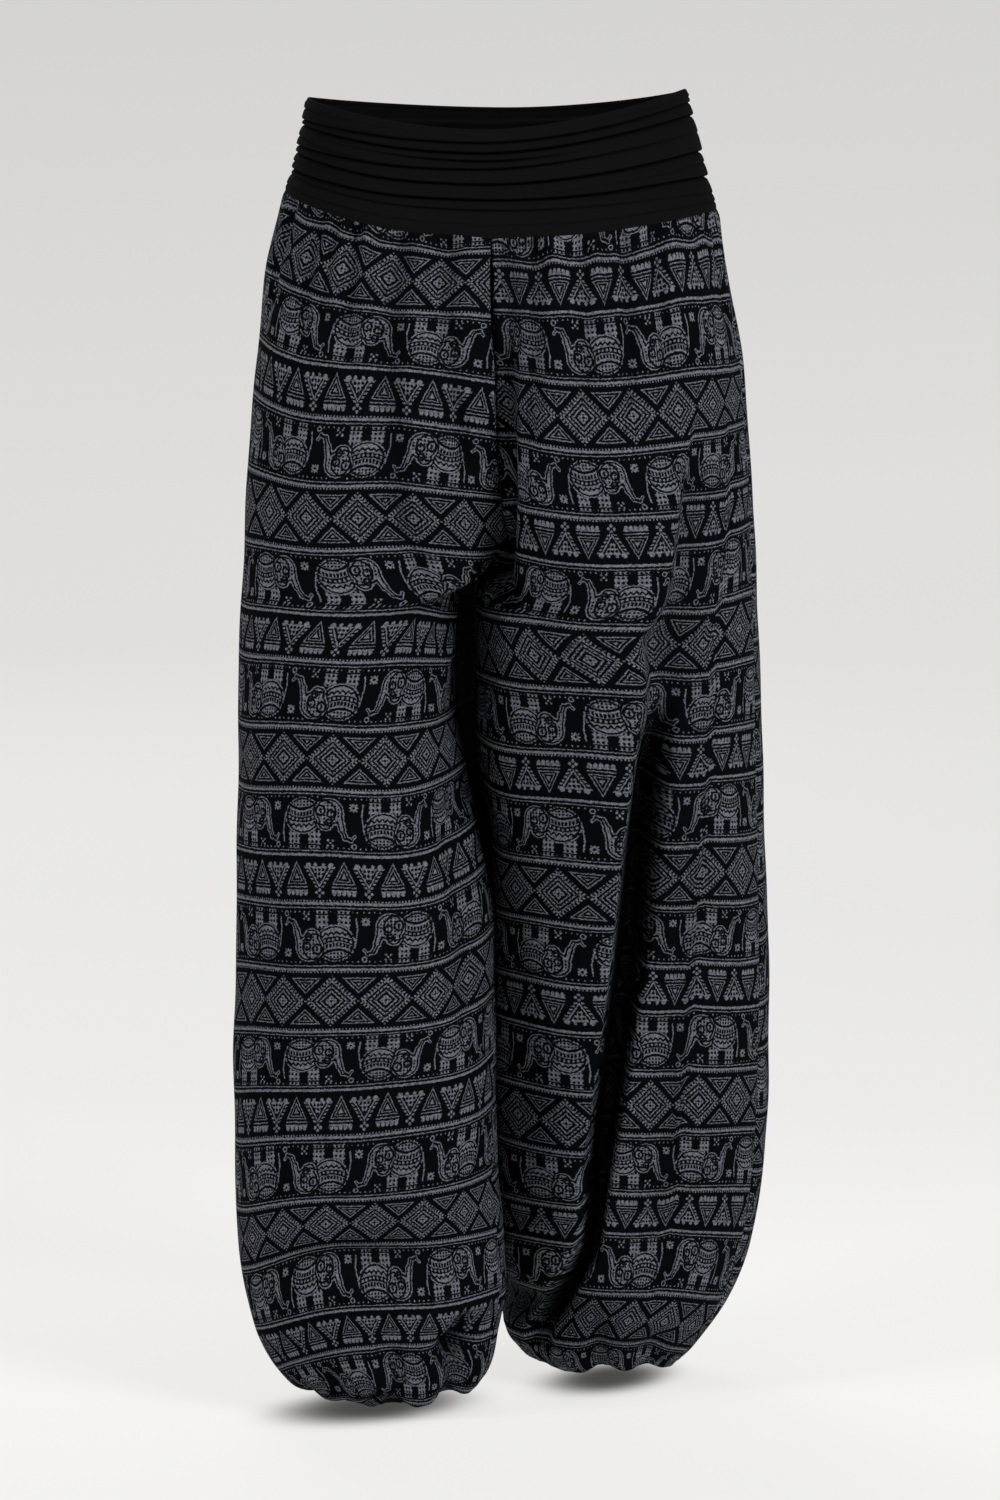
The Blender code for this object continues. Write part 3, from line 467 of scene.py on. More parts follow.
UNDERSIDE = 0.930  # length of cloth from the waist seam down to the underside of the ankle's bulge

# Dimples, a row each: the share, and two waves, with their lengths over 2 pi down and across, and their phase
DIMPLE_HEIGHT = 0.0008
DIMPLES = ((1.0, (31.0, 44.0, 1.0), (-90.0, 19.0, 2.0)), (0.7, (17.0, -38.0, 1.3), (60.0, 27.0, 1.0)))


def uneven_waves(run, phase, waves):
    """Sine waves whose phase swings along a slower wave, added up."""
    return sum(share * np.sin(run / length + turn * phase + swing * np.sin(run / slow + late * phase))
               for share, length, turn, swing, slow, late in waves)


def fine_relief(name, down, across):
    """Small gathers that run down from the waist seam and broader ones up from the ankle, as waves across the
    cloth with unlike spacings, and shallow dimples, as products of slow waves down and across it."""
    phase = PHASE[name]
    run = across * 1000.0
    way = down[:, None] * 1000.0

    def slow_wave(length_down, length_across, turn):
        return np.sin(way / length_down + run / length_across + turn * phase)

    pleats = uneven_waves(run, phase, PLEATS)
    pouches = uneven_waves(run, phase, POUCHES)
    reach = PLEAT_REACH
    for high, length, turn in REACH_WAVES:
        reach = reach + high * np.sin(run / length + turn * phase)
    above = np.maximum(UNDERSIDE - down[:, None], 0.0)
    lift = PLEAT_HEIGHT * pleats * np.exp(-((down[:, None] / reach) ** PLEAT_FALL))
    lift += POUCH_HEIGHT * pouches * np.exp(-((above / (reach * POUCH_REACH)) ** PLEAT_FALL))
    lift += HEM_PLEAT_HEIGHT * pleats * np.exp(-((above / HEM_PLEAT_REACH) ** 2))
    dimples = sum(share * slow_wave(*first) * slow_wave(*second) for share, first, second in DIMPLES)
    return lift + DIMPLE_HEIGHT * dimples


# Where the left front's columns crowd: three places, measured from its main fold's edge, and the share of
# the columns up to the side seam, each of those places and the inner edge
CROWD_PLACES = (-0.10, 0.03, 0.10)
CROWD_SHARES = (0.0, 0.20, 0.56, 0.70, 1.0)


def panel_columns(name, down):
    """Places of a panel's columns from the side seam, 0, to the inner edge, 1. On the left front they crowd
    round its main fold, whose sharp edge needs them."""
    share = np.linspace(0.0, 1.0, COLUMNS)
    if name != "left_front":
        return np.tile(share, (len(down), 1))
    return np.array([np.interp(share, CROWD_SHARES, [0.0, *(edge + away for away in CROWD_PLACES), 1.0])
                     for edge in through(down, *zip(*MAIN_EDGE))])


def panel_points(name, down):
    """A panel's points without its folds, the length of each row, and the places of its columns."""
    side, face = name.split("_")
    points, place = leg_rings(side, down)
    start, ahead = (np.interp(down, *zip(*SEAM_ROUTES[side + seam])) for seam in ("_side", "_inseam"))
    end = (place[:, -1] if face == "front" else place[:, 0]) - ahead
    columns = panel_columns(name, down)
    wanted = start[:, None] + (end - start)[:, None] * columns
    grid = np.array([read_ring(p, q, w) for p, q, w in zip(points, place, wanted)])
    grid[:, :, 0] *= SIGN[side]
    return grid, np.abs(end - start), columns


def print_coordinates(name, down, places, lengths, height):
    """Where each point lies in the print, across and along, in metres: straight down the cloth, less what its
    row rises towards the inner edge, and across it in proportion, with the cloth that a fold hides left out
    of sight behind its crest. Slow waves pull it out of line, and quicker ones near the waist's gathers."""
    lay = dict(zip(LAY, LAYS[name]))
    width = WAIST_CLOTH + (LEG_CLOTH - WAIST_CLOTH) * ease(down / THIGH_DOWN)
    across = lay["across"] + lay["direction"] * places * width[:, None]
    across -= lay["drift"] * (1.0 - between(down, DRIFT_FADE))[:, None]
    run = places * lengths[:, None] + lay["across"]
    way = down[:, None]
    along = way + sum(high * np.sin(run / wide + way / long) for high, wide, long in PULLS)
    high, wide, swing, slow, fade = PUCKER
    along += high * np.sin(run / wide + swing * np.sin(run / slow)) * np.exp(-way / fade)
    if name == "left_front":
        for row, beyond, spread, hidden, hidden_across in HIDDEN:
            centre, t = fold_places(named_fold(FOLDS[name][row]), down, row < MAIN_ROWS)
            step = ease((beyond - (places - centre[:, None]) * lengths[:, None]) / spread + 0.5)
            along += hidden * step * (ease(t / FADE) * (1.0 - between(down, HIDDEN_FADE)))[:, None]
            across += hidden_across * (1.0 - step) * between(way, HIDDEN_START)
    rise = height - np.array([np.interp(LIE_PLACE, p, z) for p, z in zip(places, height)])[:, None]
    kept = np.argmin(np.abs(down - LIE))
    rise -= np.interp(places, places[kept], rise[kept])
    kept_rows = (way > LIE) * (1.0 - between(way, LIE_END))
    along -= np.maximum(rise, 0.0) * between(places, LIE_PLACES) * kept_rows
    return across, lay["along"] + (-along if lay["turned"] else along)


def panel(name):
    """A leg panel as a grid of points, with its print coordinates, the painted shade of its deep folds and, on
    the right back, between the legs, and whether its faces turn round. Each point of the leg's form moves along
    the form's normal by the height of the folds and the seam's groove, and along its row by their lean. Near the
    waist and side seams it is held flat."""
    side, face = name.split("_")
    down = np.linspace(0.0, HEM, ROWS)
    grid, lengths, places = panel_points(name, down)
    across = np.gradient(grid, axis=1)
    normal = np.cross(across, np.gradient(grid, axis=0)) * (SIGN[side] if face == "front" else -SIGN[side])
    normal /= np.linalg.norm(normal, axis=2, keepdims=True)
    across /= np.linalg.norm(across, axis=2, keepdims=True)
    lift, roll = fold_relief(name, down, places, lengths)
    # Painted shade: how much the print's ink fades, from the folds' depth, and on the right back between the legs
    depth = np.clip(-lift / FULL_PAINTED_SHADE_DEPTH, 0.0, 1.0)
    if name == "right_back":
        start, end, inner = PAINTED_SHADE_BETWEEN_LEGS
        rows = between(down, start) * (1.0 - between(down, end))
        depth = np.maximum(depth, between(places, inner) * rows[:, None])
    edge = np.minimum(places, 1.0 - places) * lengths[:, None]
    lift += fine_relief(name, down, places * lengths[:, None]) * ease(edge / SEWN)
    lift *= ease(down / SEWN + SLACK)[:, None]
    roll *= ease(down / SEWN)[:, None]
    inseam = 1.0 - (1.0 - INSEAM_GROOVE) * between(down[:, None], INSEAM_START)
    groove = SEAM_GROOVE * np.where(places > 0.5, inseam, 1.0)
    lift -= groove * np.exp(-((edge / SEAM_SPREAD) ** 1.5))
    points = grid + normal * lift[:, :, None] - across * roll[:, :, None]
    uv = np.stack(print_coordinates(name, down, places, lengths, grid[:, :, 2]), axis=2)
    return points, uv, depth, (side == "left") != (face == "back")


def corners(grid):
    """The four corners of each face over a grid, in turn."""
    return np.stack([grid[:-1, :-1], grid[1:, :-1], grid[1:, 1:], grid[:-1, 1:]], axis=2).reshape(-1, 4)


def grid_object(name, points, uv, flip, looks, depth=None, round_rows=False, round_columns=False):
    """A smooth sheet of quads over a grid of points, which may close on itself either way, with the UV map
    "cloth" in metres and the attribute "depth" of painted shade, from 0 in the open to 1 deep in a fold."""
    index = np.arange(points.shape[0] * points.shape[1]).reshape(points.shape[:2])
    index = np.concatenate([index, index[:, :1]], axis=1) if round_columns else index
    index = np.concatenate([index, index[:1]]) if round_rows else index
    quads = corners(index)
    uv_quads = corners(np.arange(index.size).reshape(index.shape))
    if flip:
        quads, uv_quads = quads[:, ::-1], uv_quads[:, ::-1]
    mesh = bpy.data.meshes.new(name)
    mesh.vertices.add(points.shape[0] * points.shape[1])
    mesh.vertices.foreach_set("co", points.reshape(-1).astype(np.float32))
    mesh.loops.add(quads.size)
    mesh.loops.foreach_set("vertex_index", quads.reshape(-1).astype(np.int32))
    mesh.polygons.add(len(quads))
    mesh.polygons.foreach_set("loop_start", np.arange(0, quads.size, 4, dtype=np.int32))
    mesh.polygons.foreach_set("use_smooth", np.ones(len(quads), bool))
    mesh.update(calc_edges=True)
    layer = mesh.uv_layers.new(name="cloth")
    layer.data.foreach_set("uv", uv.reshape(-1, 2)[uv_quads.reshape(-1)].reshape(-1).astype(np.float32))
    if depth is not None:
        values = mesh.attributes.new("depth", "FLOAT", "POINT").data
        values.foreach_set("value", depth.reshape(-1).astype(np.float32))
    for look in looks:
        mesh.materials.append(look)
    made = bpy.data.objects.new(name, mesh)
    home.objects.link(made)
    return made


# ---- Printed cloth: its print, in millimetres ----
# Bands of diamonds, elephants and triangles between double lines, printed in pale blue-grey on near-black.
# Each shape is a signed distance, negative inside its ink. Down the cloth come diamonds, elephants,
# triangles, and the elephants again turned half round.
def set_inputs(node, inputs):
    """Put values, or other nodes' outputs, into a node's inputs, by name or number."""
    for slot, value in inputs.items():
        if isinstance(value, Field):
            node.id_data.links.new(value.socket, node.inputs[slot])
        else:
            node.inputs[slot].default_value = value


def add_node(tree, kind, output, inputs, **settings):
    """One of a new shader node's outputs, the node having these inputs and settings."""
    node = tree.nodes.new("ShaderNode" + kind)
    for name, value in settings.items():
        setattr(node, name, value)
    set_inputs(node, inputs)
    return Field(node.outputs[output])


class Field:
    """A number or a vector at each point of the cloth, as a shader node's output. Arithmetic adds nodes."""

    def __init__(self, socket):
        self.socket = socket
        self.tree = socket.id_data

    def math(self, operation, *others, clamp=False):
        inputs = dict(enumerate((self, *others)))
        return add_node(self.tree, "Math", "Value", inputs, operation=operation, use_clamp=clamp)

    def clamped(self):
        """This number held between 0 and 1."""
        return self.math("ADD", 0.0, clamp=True)

    def vector(self, operation, *others, output="Vector"):
        inputs = dict(enumerate((self, *others)))
        return add_node(self.tree, "VectorMath", output, inputs, operation=operation)

    def noise(self, scale, detail, output="Fac"):
        """Noise over this place."""
        return add_node(self.tree, "TexNoise", output, {"Vector": self, "Scale": scale, "Detail": detail})

    def split(self):
        """This place's first two coordinates."""
        return (add_node(self.tree, "SeparateXYZ", axis, {"Vector": self}) for axis in "XY")

    def __add__(self, other):
        return self.math("ADD", other)

    def __sub__(self, other):
        return self.math("SUBTRACT", other)

    def __mul__(self, other):
        return self.math("MULTIPLY", other)

    def __truediv__(self, other):
        return self.math("DIVIDE", other)

    def __abs__(self):
        return self.math("ABSOLUTE")

    def __neg__(self):
        return self.math("MULTIPLY", -1.0)

    def join(self, *others):
        """The ink of this shape and of the others."""
        return reduce(lambda whole, other: whole.math("MINIMUM", other), others, self)

    def keep(self, other):
        """The ink of this shape where the other has ink too."""
        return self.math("MAXIMUM", other)

    def cut(self, *others):
        """The ink of this shape outside the others."""
        return reduce(lambda whole, other: whole.keep(-other), others, self)

    def band(self, middle, half):
        """Ink where this number is within half of the middle."""
        return abs(self - middle) - half

    def stripes(self, period, half):
        """Ink within half of the middle of each period."""
        return self.repeat(period).band(0.0, half)

    def repeat(self, period):
        """Distance from the middle of the period that the number falls in, from -period/2 to period/2."""
        return self.math("WRAP", period / 2, -period / 2)


class Point:
    """A place in a motif: x to the right and y up."""

    def __init__(self, x, y):
        self.x = x
        self.y = y
        self.both = add_node(x.tree, "CombineXYZ", "Vector", {"X": x, "Y": y})

    def disc(self, x, y, radius):
        """A disc: distance from its middle, less its radius."""
        return self.both.vector("DISTANCE", (x, y, 0.0), output="Value") - radius

    def ring(self, x, y, radius, half):
        """A ring: how far the distance from its middle is from its radius, less half its stroke."""
        return abs(self.disc(x, y, radius)) - half

    def oval(self, x, y, half_x, half_y):
        """An oval: a disc of its smaller half axis, in coordinates scaled to make it round."""
        small = min(half_x, half_y)
        scale = (small / half_x, small / half_y, 0.0)
        round_place = self.both.vector("MULTIPLY", scale)
        return round_place.vector("DISTANCE", (x * scale[0], y * scale[1], 0.0), output="Value") - small

    def stroke(self, x0, y0, x1, y1, half):
        """A round-ended stroke: distance from the nearest point of its line, less half its width."""
        length = (x1 - x0) ** 2 + (y1 - y0) ** 2
        offset = self.both.vector("SUBTRACT", (x0, y0, 0.0))
        share = offset.vector("DOT_PRODUCT", ((x1 - x0) / length, (y1 - y0) / length, 0.0), output="Value")
        inputs = {0: (x1 - x0, y1 - y0, 0.0), "Scale": share.clamped()}
        nearest = add_node(offset.tree, "VectorMath", "Vector", inputs, operation="SCALE")
        return offset.vector("DISTANCE", nearest, output="Value") - half

    def box(self, x, y, half_x, half_y):
        """An upright box."""
        return self.x.band(x, half_x).keep(self.y.band(y, half_y))

    def dots(self, period_x, period_y, radius):
        """A field of discs."""
        return Point(self.x.repeat(period_x), self.y.repeat(period_y)).disc(0.0, 0.0, radius)


DIAMONDS, ELEPHANTS, TRIANGLES, TURNED = 52.0, 48.0, 37.0, 49.0  # heights of the bands
MARGIN = 3.4  # what stays clear of a band's motifs at its top and foot, beside the lines
TRIANGLE_MARGIN = 2.8
REPEAT = DIAMONDS + ELEPHANTS + TRIANGLES + TURNED
DIAMOND_PITCH = REPEAT / 4.5
ELEPHANT_PITCH = REPEAT / 3
TRIANGLE_PITCH = REPEAT / 5
SLANT = math.sqrt(0.5)
START = {"diamonds": 6.0, "elephants": -86.0, "triangles": 17.0, "turned": 36.0}  # of each band, across


def diamond_band(x, y):
    """Nested squares on their points with a comb round the outer one, and nested triangles between them. The
    squares are where |x| + |y|, measured square to their sides, lies within a stroke."""
    side = abs(x.repeat(DIAMOND_PITCH))
    high = abs(y)
    square = (side + high) * SLANT
    comb = square.band(13.6, 1.3).keep(((side - high) * SLANT).stripes(2.9, 0.85))
    ink = comb.join(square.band(11.6, 0.75), square.band(8.7, 0.75), square.band(5.9, 0.75), square - 3.6)
    ink = ink.cut(Point(side, high).dots(2.4, 2.4, 0.45), square - 0.9)
    depth = ((side + high - DIAMOND_PITCH / 2) * SLANT - 4.4).math("MINIMUM", -(high - 19.2))
    return ink.join(depth.band(0.55, 0.55), depth.band(2.8, 0.5), -(depth - 4.5))


def triangle_band(x, y):
    """Upright nested triangles on a scalloped foot. Between them stand hearts: a V filled with specks, with
    teeth up both its sides, knobs along its top, and a small flower for a stem."""
    side = abs(x.repeat(TRIANGLE_PITCH))
    depth = ((side * -2.0 - y + 13.8) * 0.4472).math("MINIMUM", y + 4.0)
    ink = depth.band(0.5, 0.5).join(depth.band(2.5, 0.45), -(depth - 4.1))
    ink = ink.join(y.band(-6.0, 0.55).keep(side - 9.4))
    foot = Point(side.repeat(3.7), y).oval(0.0, -10.2, 1.7, 2.4).join(y.band(-8.6, 0.7)).keep(side - 9.6)
    across = -(side - TRIANGLE_PITCH / 2)
    place = Point(across, y)
    edge = (across - (y + 6.5) * 0.6) * 0.857
    heart = edge.keep(-edge - 1.3).join((edge + 2.5).cut(place.dots(3.0, 3.4, 1.0)))
    heart = heart.join(edge.band(1.6, 1.0).keep(y.stripes(2.8, 0.85))).keep(y.band(1.6, 8.0))
    knobs = place.disc(8.6, 9.8, 2.3).join(place.disc(3.2, 10.6, 1.5))
    stem = place.disc(0.0, -8.2, 1.35).join(place.disc(2.3, -10.2, 1.3), place.disc(0.0, -12.5, 1.3))
    return ink.join(foot, heart, knobs, stem)


def elephant(place):
    """A walking elephant that faces right: an oval body and head, a tapering trunk, two stout legs and a
    thread of a tail, with the lines of its trappings left out of the ink."""
    body = place.oval(-11.6, 4.6, 15.4, 14.2)
    head = place.oval(9.0, 8.0, 11.4, 10.8)
    trunk = place.stroke(16.6, 5.0, 19.2, -5.0, 3.3).join(
        place.stroke(19.2, -5.0, 21.8, -11.0, 2.6), place.stroke(21.8, -11.0, 26.2, -12.8, 2.0),
        place.stroke(26.2, -12.8, 28.8, -9.6, 1.4))
    shape = head.math("SMOOTH_MIN", trunk, 3.0).math("SMOOTH_MIN", place.oval(6.4, -1.2, 6.6, 5.6), 2.0)
    spots = place.dots(2.7, 2.5, 0.75)
    saddle = place.disc(-13.0, 26.5, 0.0)
    ink = body.keep(place.y * -1.0 - 9.4).cut(
        body.band(-1.8, 0.5), saddle.band(17.0, 0.9), spots.keep(saddle - 15.4),
        saddle.band(21.0, 1.4).keep(place.x.stripes(2.6, 0.75)),
        saddle.band(25.2, 1.9).cut(Point(place.x.repeat(3.3), saddle).disc(0.0, 25.2, 1.1)),
        (saddle + abs(place.x.repeat(4.2)) * 0.9).band(30.6, 0.75))
    face = shape.cut(shape.band(-1.6, 0.5), spots.keep(shape + 3.4), place.ring(4.6, 7.4, 9.4, 0.65),
                     place.ring(2.2, 9.0, 3.6, 0.75), place.ring(10.4, 6.6, 2.7, 0.7),
                     place.ring(9.0, -0.2, 2.4, 0.65), place.disc(2.2, 9.0, 0.9))
    legs = Point(abs(place.x + 10.1), place.y).box(8.3, -13.2, 4.9, 6.8)
    legs = legs.cut(body, place.dots(3.3, 3.7, 0.9), place.y.band(-17.0, 0.5))
    tail = place.stroke(-26.4, 7.0, -28.4, -6.0, 0.6).join(place.stroke(-28.4, -6.0, -27.4, -14.4, 0.7))
    return ink.join(legs, tail).cut(shape - 0.9).join(face)


def elephant_band(x, y):
    """Elephants, every third one upside down, with a star, a flower and a bead between them and rows of dots
    above and below."""
    cell = ((x / ELEPHANT_PITCH) + 0.5).math("FLOOR")
    upright = cell.math("WRAP", 3.0, 0.0).math("COMPARE", 2.0, 0.5) * -2.0 + 1.0
    place = Point(x.repeat(ELEPHANT_PITCH), y * upright)
    ink = elephant(place)
    gap_x = abs(place.x - 27.4)
    gap_y = abs(place.y - 12.0)
    corner = Point(gap_x, gap_y).disc(2.3, 2.3, 0.8)
    star = (gap_x + gap_y - 3.6).join(corner).cut(place.disc(27.4, 12.0, 0.9))
    petals = Point(abs(place.x - 10.7), abs(place.y + 15.4)).disc(1.9, 1.9, 1.0)
    flower = place.disc(10.7, -15.4, 1.0).join(petals)
    bead = place.ring(28.4, -17.2, 1.7, 0.6)
    dots = Point(place.x.repeat(4.1), abs(y)).disc(0.0, 18.9, 0.75).cut(ink - 1.5)
    return ink.join(star, flower, bead, dots)


def double_line(y, fringe):
    """A thick line along y = 0 with a thin one beside it, and a fringe on the thick one's other side."""
    return y.band(0.5, 1.1).join(y.band(-2.6, 0.5), y.band(2.3, 0.8).keep(fringe))


def print_ink(across, along):
    """Signed distance of the whole print at a place on the cloth, along being measured down it: the motifs
    of each band inside its height, and the lines between the bands."""
    row = along.math("WRAP", REPEAT, 0.0)
    turned = row.math("GREATER_THAN", DIAMONDS + ELEPHANTS + TRIANGLES / 2)
    way = turned * -2.0 + 1.0
    first = DIAMONDS + ELEPHANTS / 2
    middle = turned * (REPEAT - TURNED / 2 - first) + first
    elephant_y = (row - middle) * way * -1.0
    elephant_x = (across + START["elephants"] + turned * (START["turned"] - START["elephants"])) * way
    ink = elephant_band(elephant_x, elephant_y).keep(elephant_y.band(0.0, ELEPHANTS / 2 - MARGIN))
    diamond_y = row - DIAMONDS / 2
    diamonds = diamond_band(across + START["diamonds"], diamond_y)
    ink = ink.join(diamonds.keep(diamond_y.band(0.0, DIAMONDS / 2 - MARGIN)))
    triangle_y = (row - (DIAMONDS + ELEPHANTS + TRIANGLES / 2)) * -1.0
    triangles = triangle_band(across + START["triangles"], triangle_y)
    ink = ink.join(triangles.keep(triangle_y.band(0.0, TRIANGLES / 2 - TRIANGLE_MARGIN)))
    from_diamonds = abs(diamond_y.repeat(REPEAT)) * -1.0 + DIAMONDS / 2
    from_triangles = abs(triangle_y) * -1.0 + TRIANGLES / 2
    teeth = across.stripes(2.6, 0.7)
    return ink.join(double_line(from_diamonds, teeth), double_line(from_triangles, teeth.keep(triangle_y)))


GROUND = (0.0021, 0.0024, 0.0028)
INK = (0.142, 0.153, 0.176)
REVERSE = (0.006, 0.0065, 0.0075)
WEAVE = 1400.0  # grains of the weave's noise to a metre
WEAVE_HEIGHT = 0.0003
WAVER = (0.55, 1.5)  # noise that moves the print: grains to a millimetre, and by how many millimetres
FRAY = (0.8, 1.2, 0.41)  # noise that frays its edges: grains, how many millimetres, and what the ink spreads
EDGE = 2.2  # how fast the ink thickens inside its edge, for each millimetre
WEAR = (0.45, 2.4, 0.42)  # noise that wears it: grains, how strongly, and how much ink is gone where it is 0
PAINTED_SHADE_SHARE = 0.85  # painted shade: share of the ink's pale tone taken away at the floor of a deep fold


def new_look(name):
    """A material and its shader."""
    look = bpy.data.materials.new(name)
    look.use_nodes = True
    return look, look.node_tree.nodes["Principled BSDF"]


def plain_cloth(name, colour):
    """Matt woven cloth in one colour, with its weave as a faint bump: also its shader and its UV map."""
    look, shader = new_look(name)
    uv = add_node(look.node_tree, "UVMap", "UV", {}, uv_map="cloth")
    bump = {"Height": uv.noise(WEAVE, 1.0), "Strength": 0.4, "Distance": WEAVE_HEIGHT}
    set_inputs(shader, {"Base Color": (*colour, 1.0), "Roughness": 0.9, "Specular IOR Level": 0.01,
                        "Normal": add_node(look.node_tree, "Bump", "Normal", bump)})
    return look, shader, uv


def painted_fold_shade(shader):
    """The attribute "depth" of the piece: how much painted shade darkens it."""
    return add_node(shader.id_data, "Attribute", "Fac", {}, attribute_name="depth")


def two_tone(shader, share, none, full):
    """Colour the cloth from one colour, where the share is 0, to the other, where it is 1."""
    inputs = {"Factor": share, "A": (*none, 1.0), "B": (*full, 1.0)}
    set_inputs(shader, {"Base Color": add_node(shader.id_data, "Mix", "Result", inputs, data_type="RGBA")})


def printed_cloth():
    """The cloth with its print, whose edges waver by a third of a millimetre and whose ink is worn. The ink
    covers the cloth where its signed distance, less some noise, is negative, and is faded by painted shade in deep
    folds."""
    look, shader, uv = plain_cloth("printed_cloth", GROUND)
    place = uv.vector("MULTIPLY", (1000.0, 1000.0, 0.0))
    grain, move = WAVER
    waver = place.noise(grain, 1.0, "Color").vector("SUBTRACT", (0.5, 0.5, 0.5))
    ink = print_ink(*place.vector("ADD", waver.vector("MULTIPLY", (move, move, 0.0))).split())
    grain, fray, spread = FRAY
    cover = ((ink + place.noise(grain, 3.0) * fray - spread) * -EDGE + 0.5).clamped()
    grain, wear, gone = WEAR
    # The ink is worn, and faded by the painted shade of the attribute "depth" deep in the folds
    coat = cover * (place.noise(grain, 3.0) * wear - gone) * (painted_fold_shade(shader) * -PAINTED_SHADE_SHARE + 1.0)
    two_tone(shader, coat.clamped(), GROUND, INK)
    return look


front_look = printed_cloth()
reverse_look = plain_cloth("cloth_reverse", REVERSE)[0]

for name in LAYS:
    points, uv, depth, flip = panel(name)
    cloth = grid_object(name + "_cloth", points, uv, flip, (front_look, reverse_look), depth)
    wall = cloth.modifiers.new("cloth", "SOLIDIFY")
    wall.thickness = CLOTH
    wall.offset = -1.0
    wall.material_offset = 1
    wall.material_offset_rim = 0
    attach(cloth, "root")
    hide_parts(name)


# ---- Waistband: ruched jersey ----
# One wide strip of black jersey, folded double at its top edge and joined at the centre front. It is sewn to
# the panels at the waist and worn scrunched, so that soft rolls run round it between uneven creases.
TOP_HALF_WIDTH = 0.1457
TOP_HALF_DEPTH = 0.1025
TOP_SHIFT = -0.0040  # the rim sits a little towards the right leg
TOP_ROUND = 2.2  # exponent of the rim's ring, 2 for an ellipse
TOP_HEIGHT = {"front": 0.0145, "left": 0.0460, "back": 0.0330, "right": 0.0400}
TOP_SWEEP = 1.8  # how soon the rim rises from its middles to its sides
JERSEY = 0.0024  # the doubled jersey
BAND_COLUMNS = 440
OUTER_ROWS = 152
RIM_ROWS = 6
INNER_ROWS = 54
BAND_HEIGHT = 0.085  # about the height of the band, which turns a share of it into a length
BAND_SMOOTH = 24  # columns over which the seam's corners at the centre are smoothed out above it
RIM_WEAVE = 10.0  # share of the band's height that the weave counts for each metre inwards over the rim

# Creases, a row each: height above the waist seam as a share of the band's, in eight directions from the
# centre front round the wearer's left, then how deep it is in the same directions, in millimetres.
CREASES = (
    (.885, .890, .900, .880, .860, .830, .780, .840, 2.4, 2.4, 1.6, 1.4, 1.6, 1.4, 1.8, 2.2),
    (.788, .800, .790, .760, .740, .720, .725, .755, 3.2, 3.0, 2.4, 1.6, 2.0, 2.4, 2.6, 3.0),
    (.712, .735, .760, .720, .700, .680, .650, .690, 2.4, 0.0, 0.0, 0.8, 1.0, 0.6, 0.0, 0.8),
    (.635, .660, .650, .620, .600, .560, .505, .570, 2.6, 1.6, 0.6, 1.4, 2.0, 1.8, 2.2, 2.6),
    (.492, .500, .490, .470, .450, .440, .430, .450, 3.2, 3.0, 2.6, 2.2, 1.8, 2.0, 2.6, 3.0),
    (.344, .320, .280, .300, .320, .290, .250, .295, 3.2, 3.2, 2.6, 2.0, 2.2, 2.4, 2.8, 3.2),
    (.245, .210, .140, .150, .170, .180, .190, .215, 1.6, 1.0, 0.8, 1.4, 1.2, 1.0, 1.0, 1.2),
    (.110, .100, .070, .080, .090, .090, .080, .100, 0.6, 0.8, 0.9, 0.9, 0.6, 0.8, 0.9, 0.7),
    (.560, .560, .560, .540, .520, .540, .610, .590, 0.0, 0.0, 0.0, 0.6, 0.8, 0.5, 1.3, 0.5),
    (.400, .395, .400, .390, .380, .370, .330, .395, 0.4, 0.6, 0.9, 0.4, 0.0, 0.6, 1.2, 0.4),
    (.960, .955, .950, .950, .940, .940, .900, .940, 0.0, 0.4, 0.8, 0.5, 0.4, 0.5, 1.0, 0.4),
)
CREASE_UP = 0.0007  # how quickly a crease's floor rises to the roll above, which hangs over it
CREASE_DOWN = 0.0042  # and to the roll below
CREASE_SLIT = 0.0009  # half the width of the slit at its floor
FULL_CREASE = 2.8  # depth in millimetres from which a crease's floor gets its full painted shade
SLIT_DEPTH = 0.5  # how much the slit adds to a crease's depth
SLIT_SHADE = 0.70  # how dark the painted shade of a full crease's slit is, and of the rest of it
TROUGH_SHADE = 0.25
BAND_SWELL = 0.0012  # how far the jersey swells out between the seam and the rim
SWELL_ENDS = (0.06, 0.04)  # shares of the band's height over which it does, at the seam and at the rim
SEAM_CORNER = 0.25  # share of the band's height over which the seam's corners are smoothed out


def around(turn, values):
    """A smooth closed curve through values in eight directions round the band."""
    knots = np.arange(-1, 10) / 8.0
    return through(turn, knots, np.take(values, np.arange(-1, 10) % 8))


def band_relief(turn, height):
    """How far the jersey stands off the band's plain form: a rounded swell, less each crease, from which it
    rises as an exponential, quickly upwards and slowly downwards, with a bell curve half as deep for its
    slit. Also how much painted shade darkens the creases, most at their slits."""
    relief = BAND_SWELL * ease(height / SWELL_ENDS[0]) * ease((1.0 - height) / SWELL_ENDS[1])
    depth = np.zeros_like(relief * turn)
    for row in CREASES:
        away = (height - around(turn, row[:8])) * BAND_HEIGHT
        trough = np.exp(-np.abs(away) / np.where(away > 0.0, CREASE_UP, CREASE_DOWN))
        slit = np.exp(-((away / CREASE_SLIT) ** 2))
        relief = relief - around(turn, row[8:]) / 1000.0 * (trough + SLIT_DEPTH * slit)
        shade = np.clip(around(turn, row[8:]) / FULL_CREASE, 0.0, 1.0)
        depth = np.maximum(depth, shade * (SLIT_SHADE * slit + TROUGH_SHADE * trough))
    return relief, depth


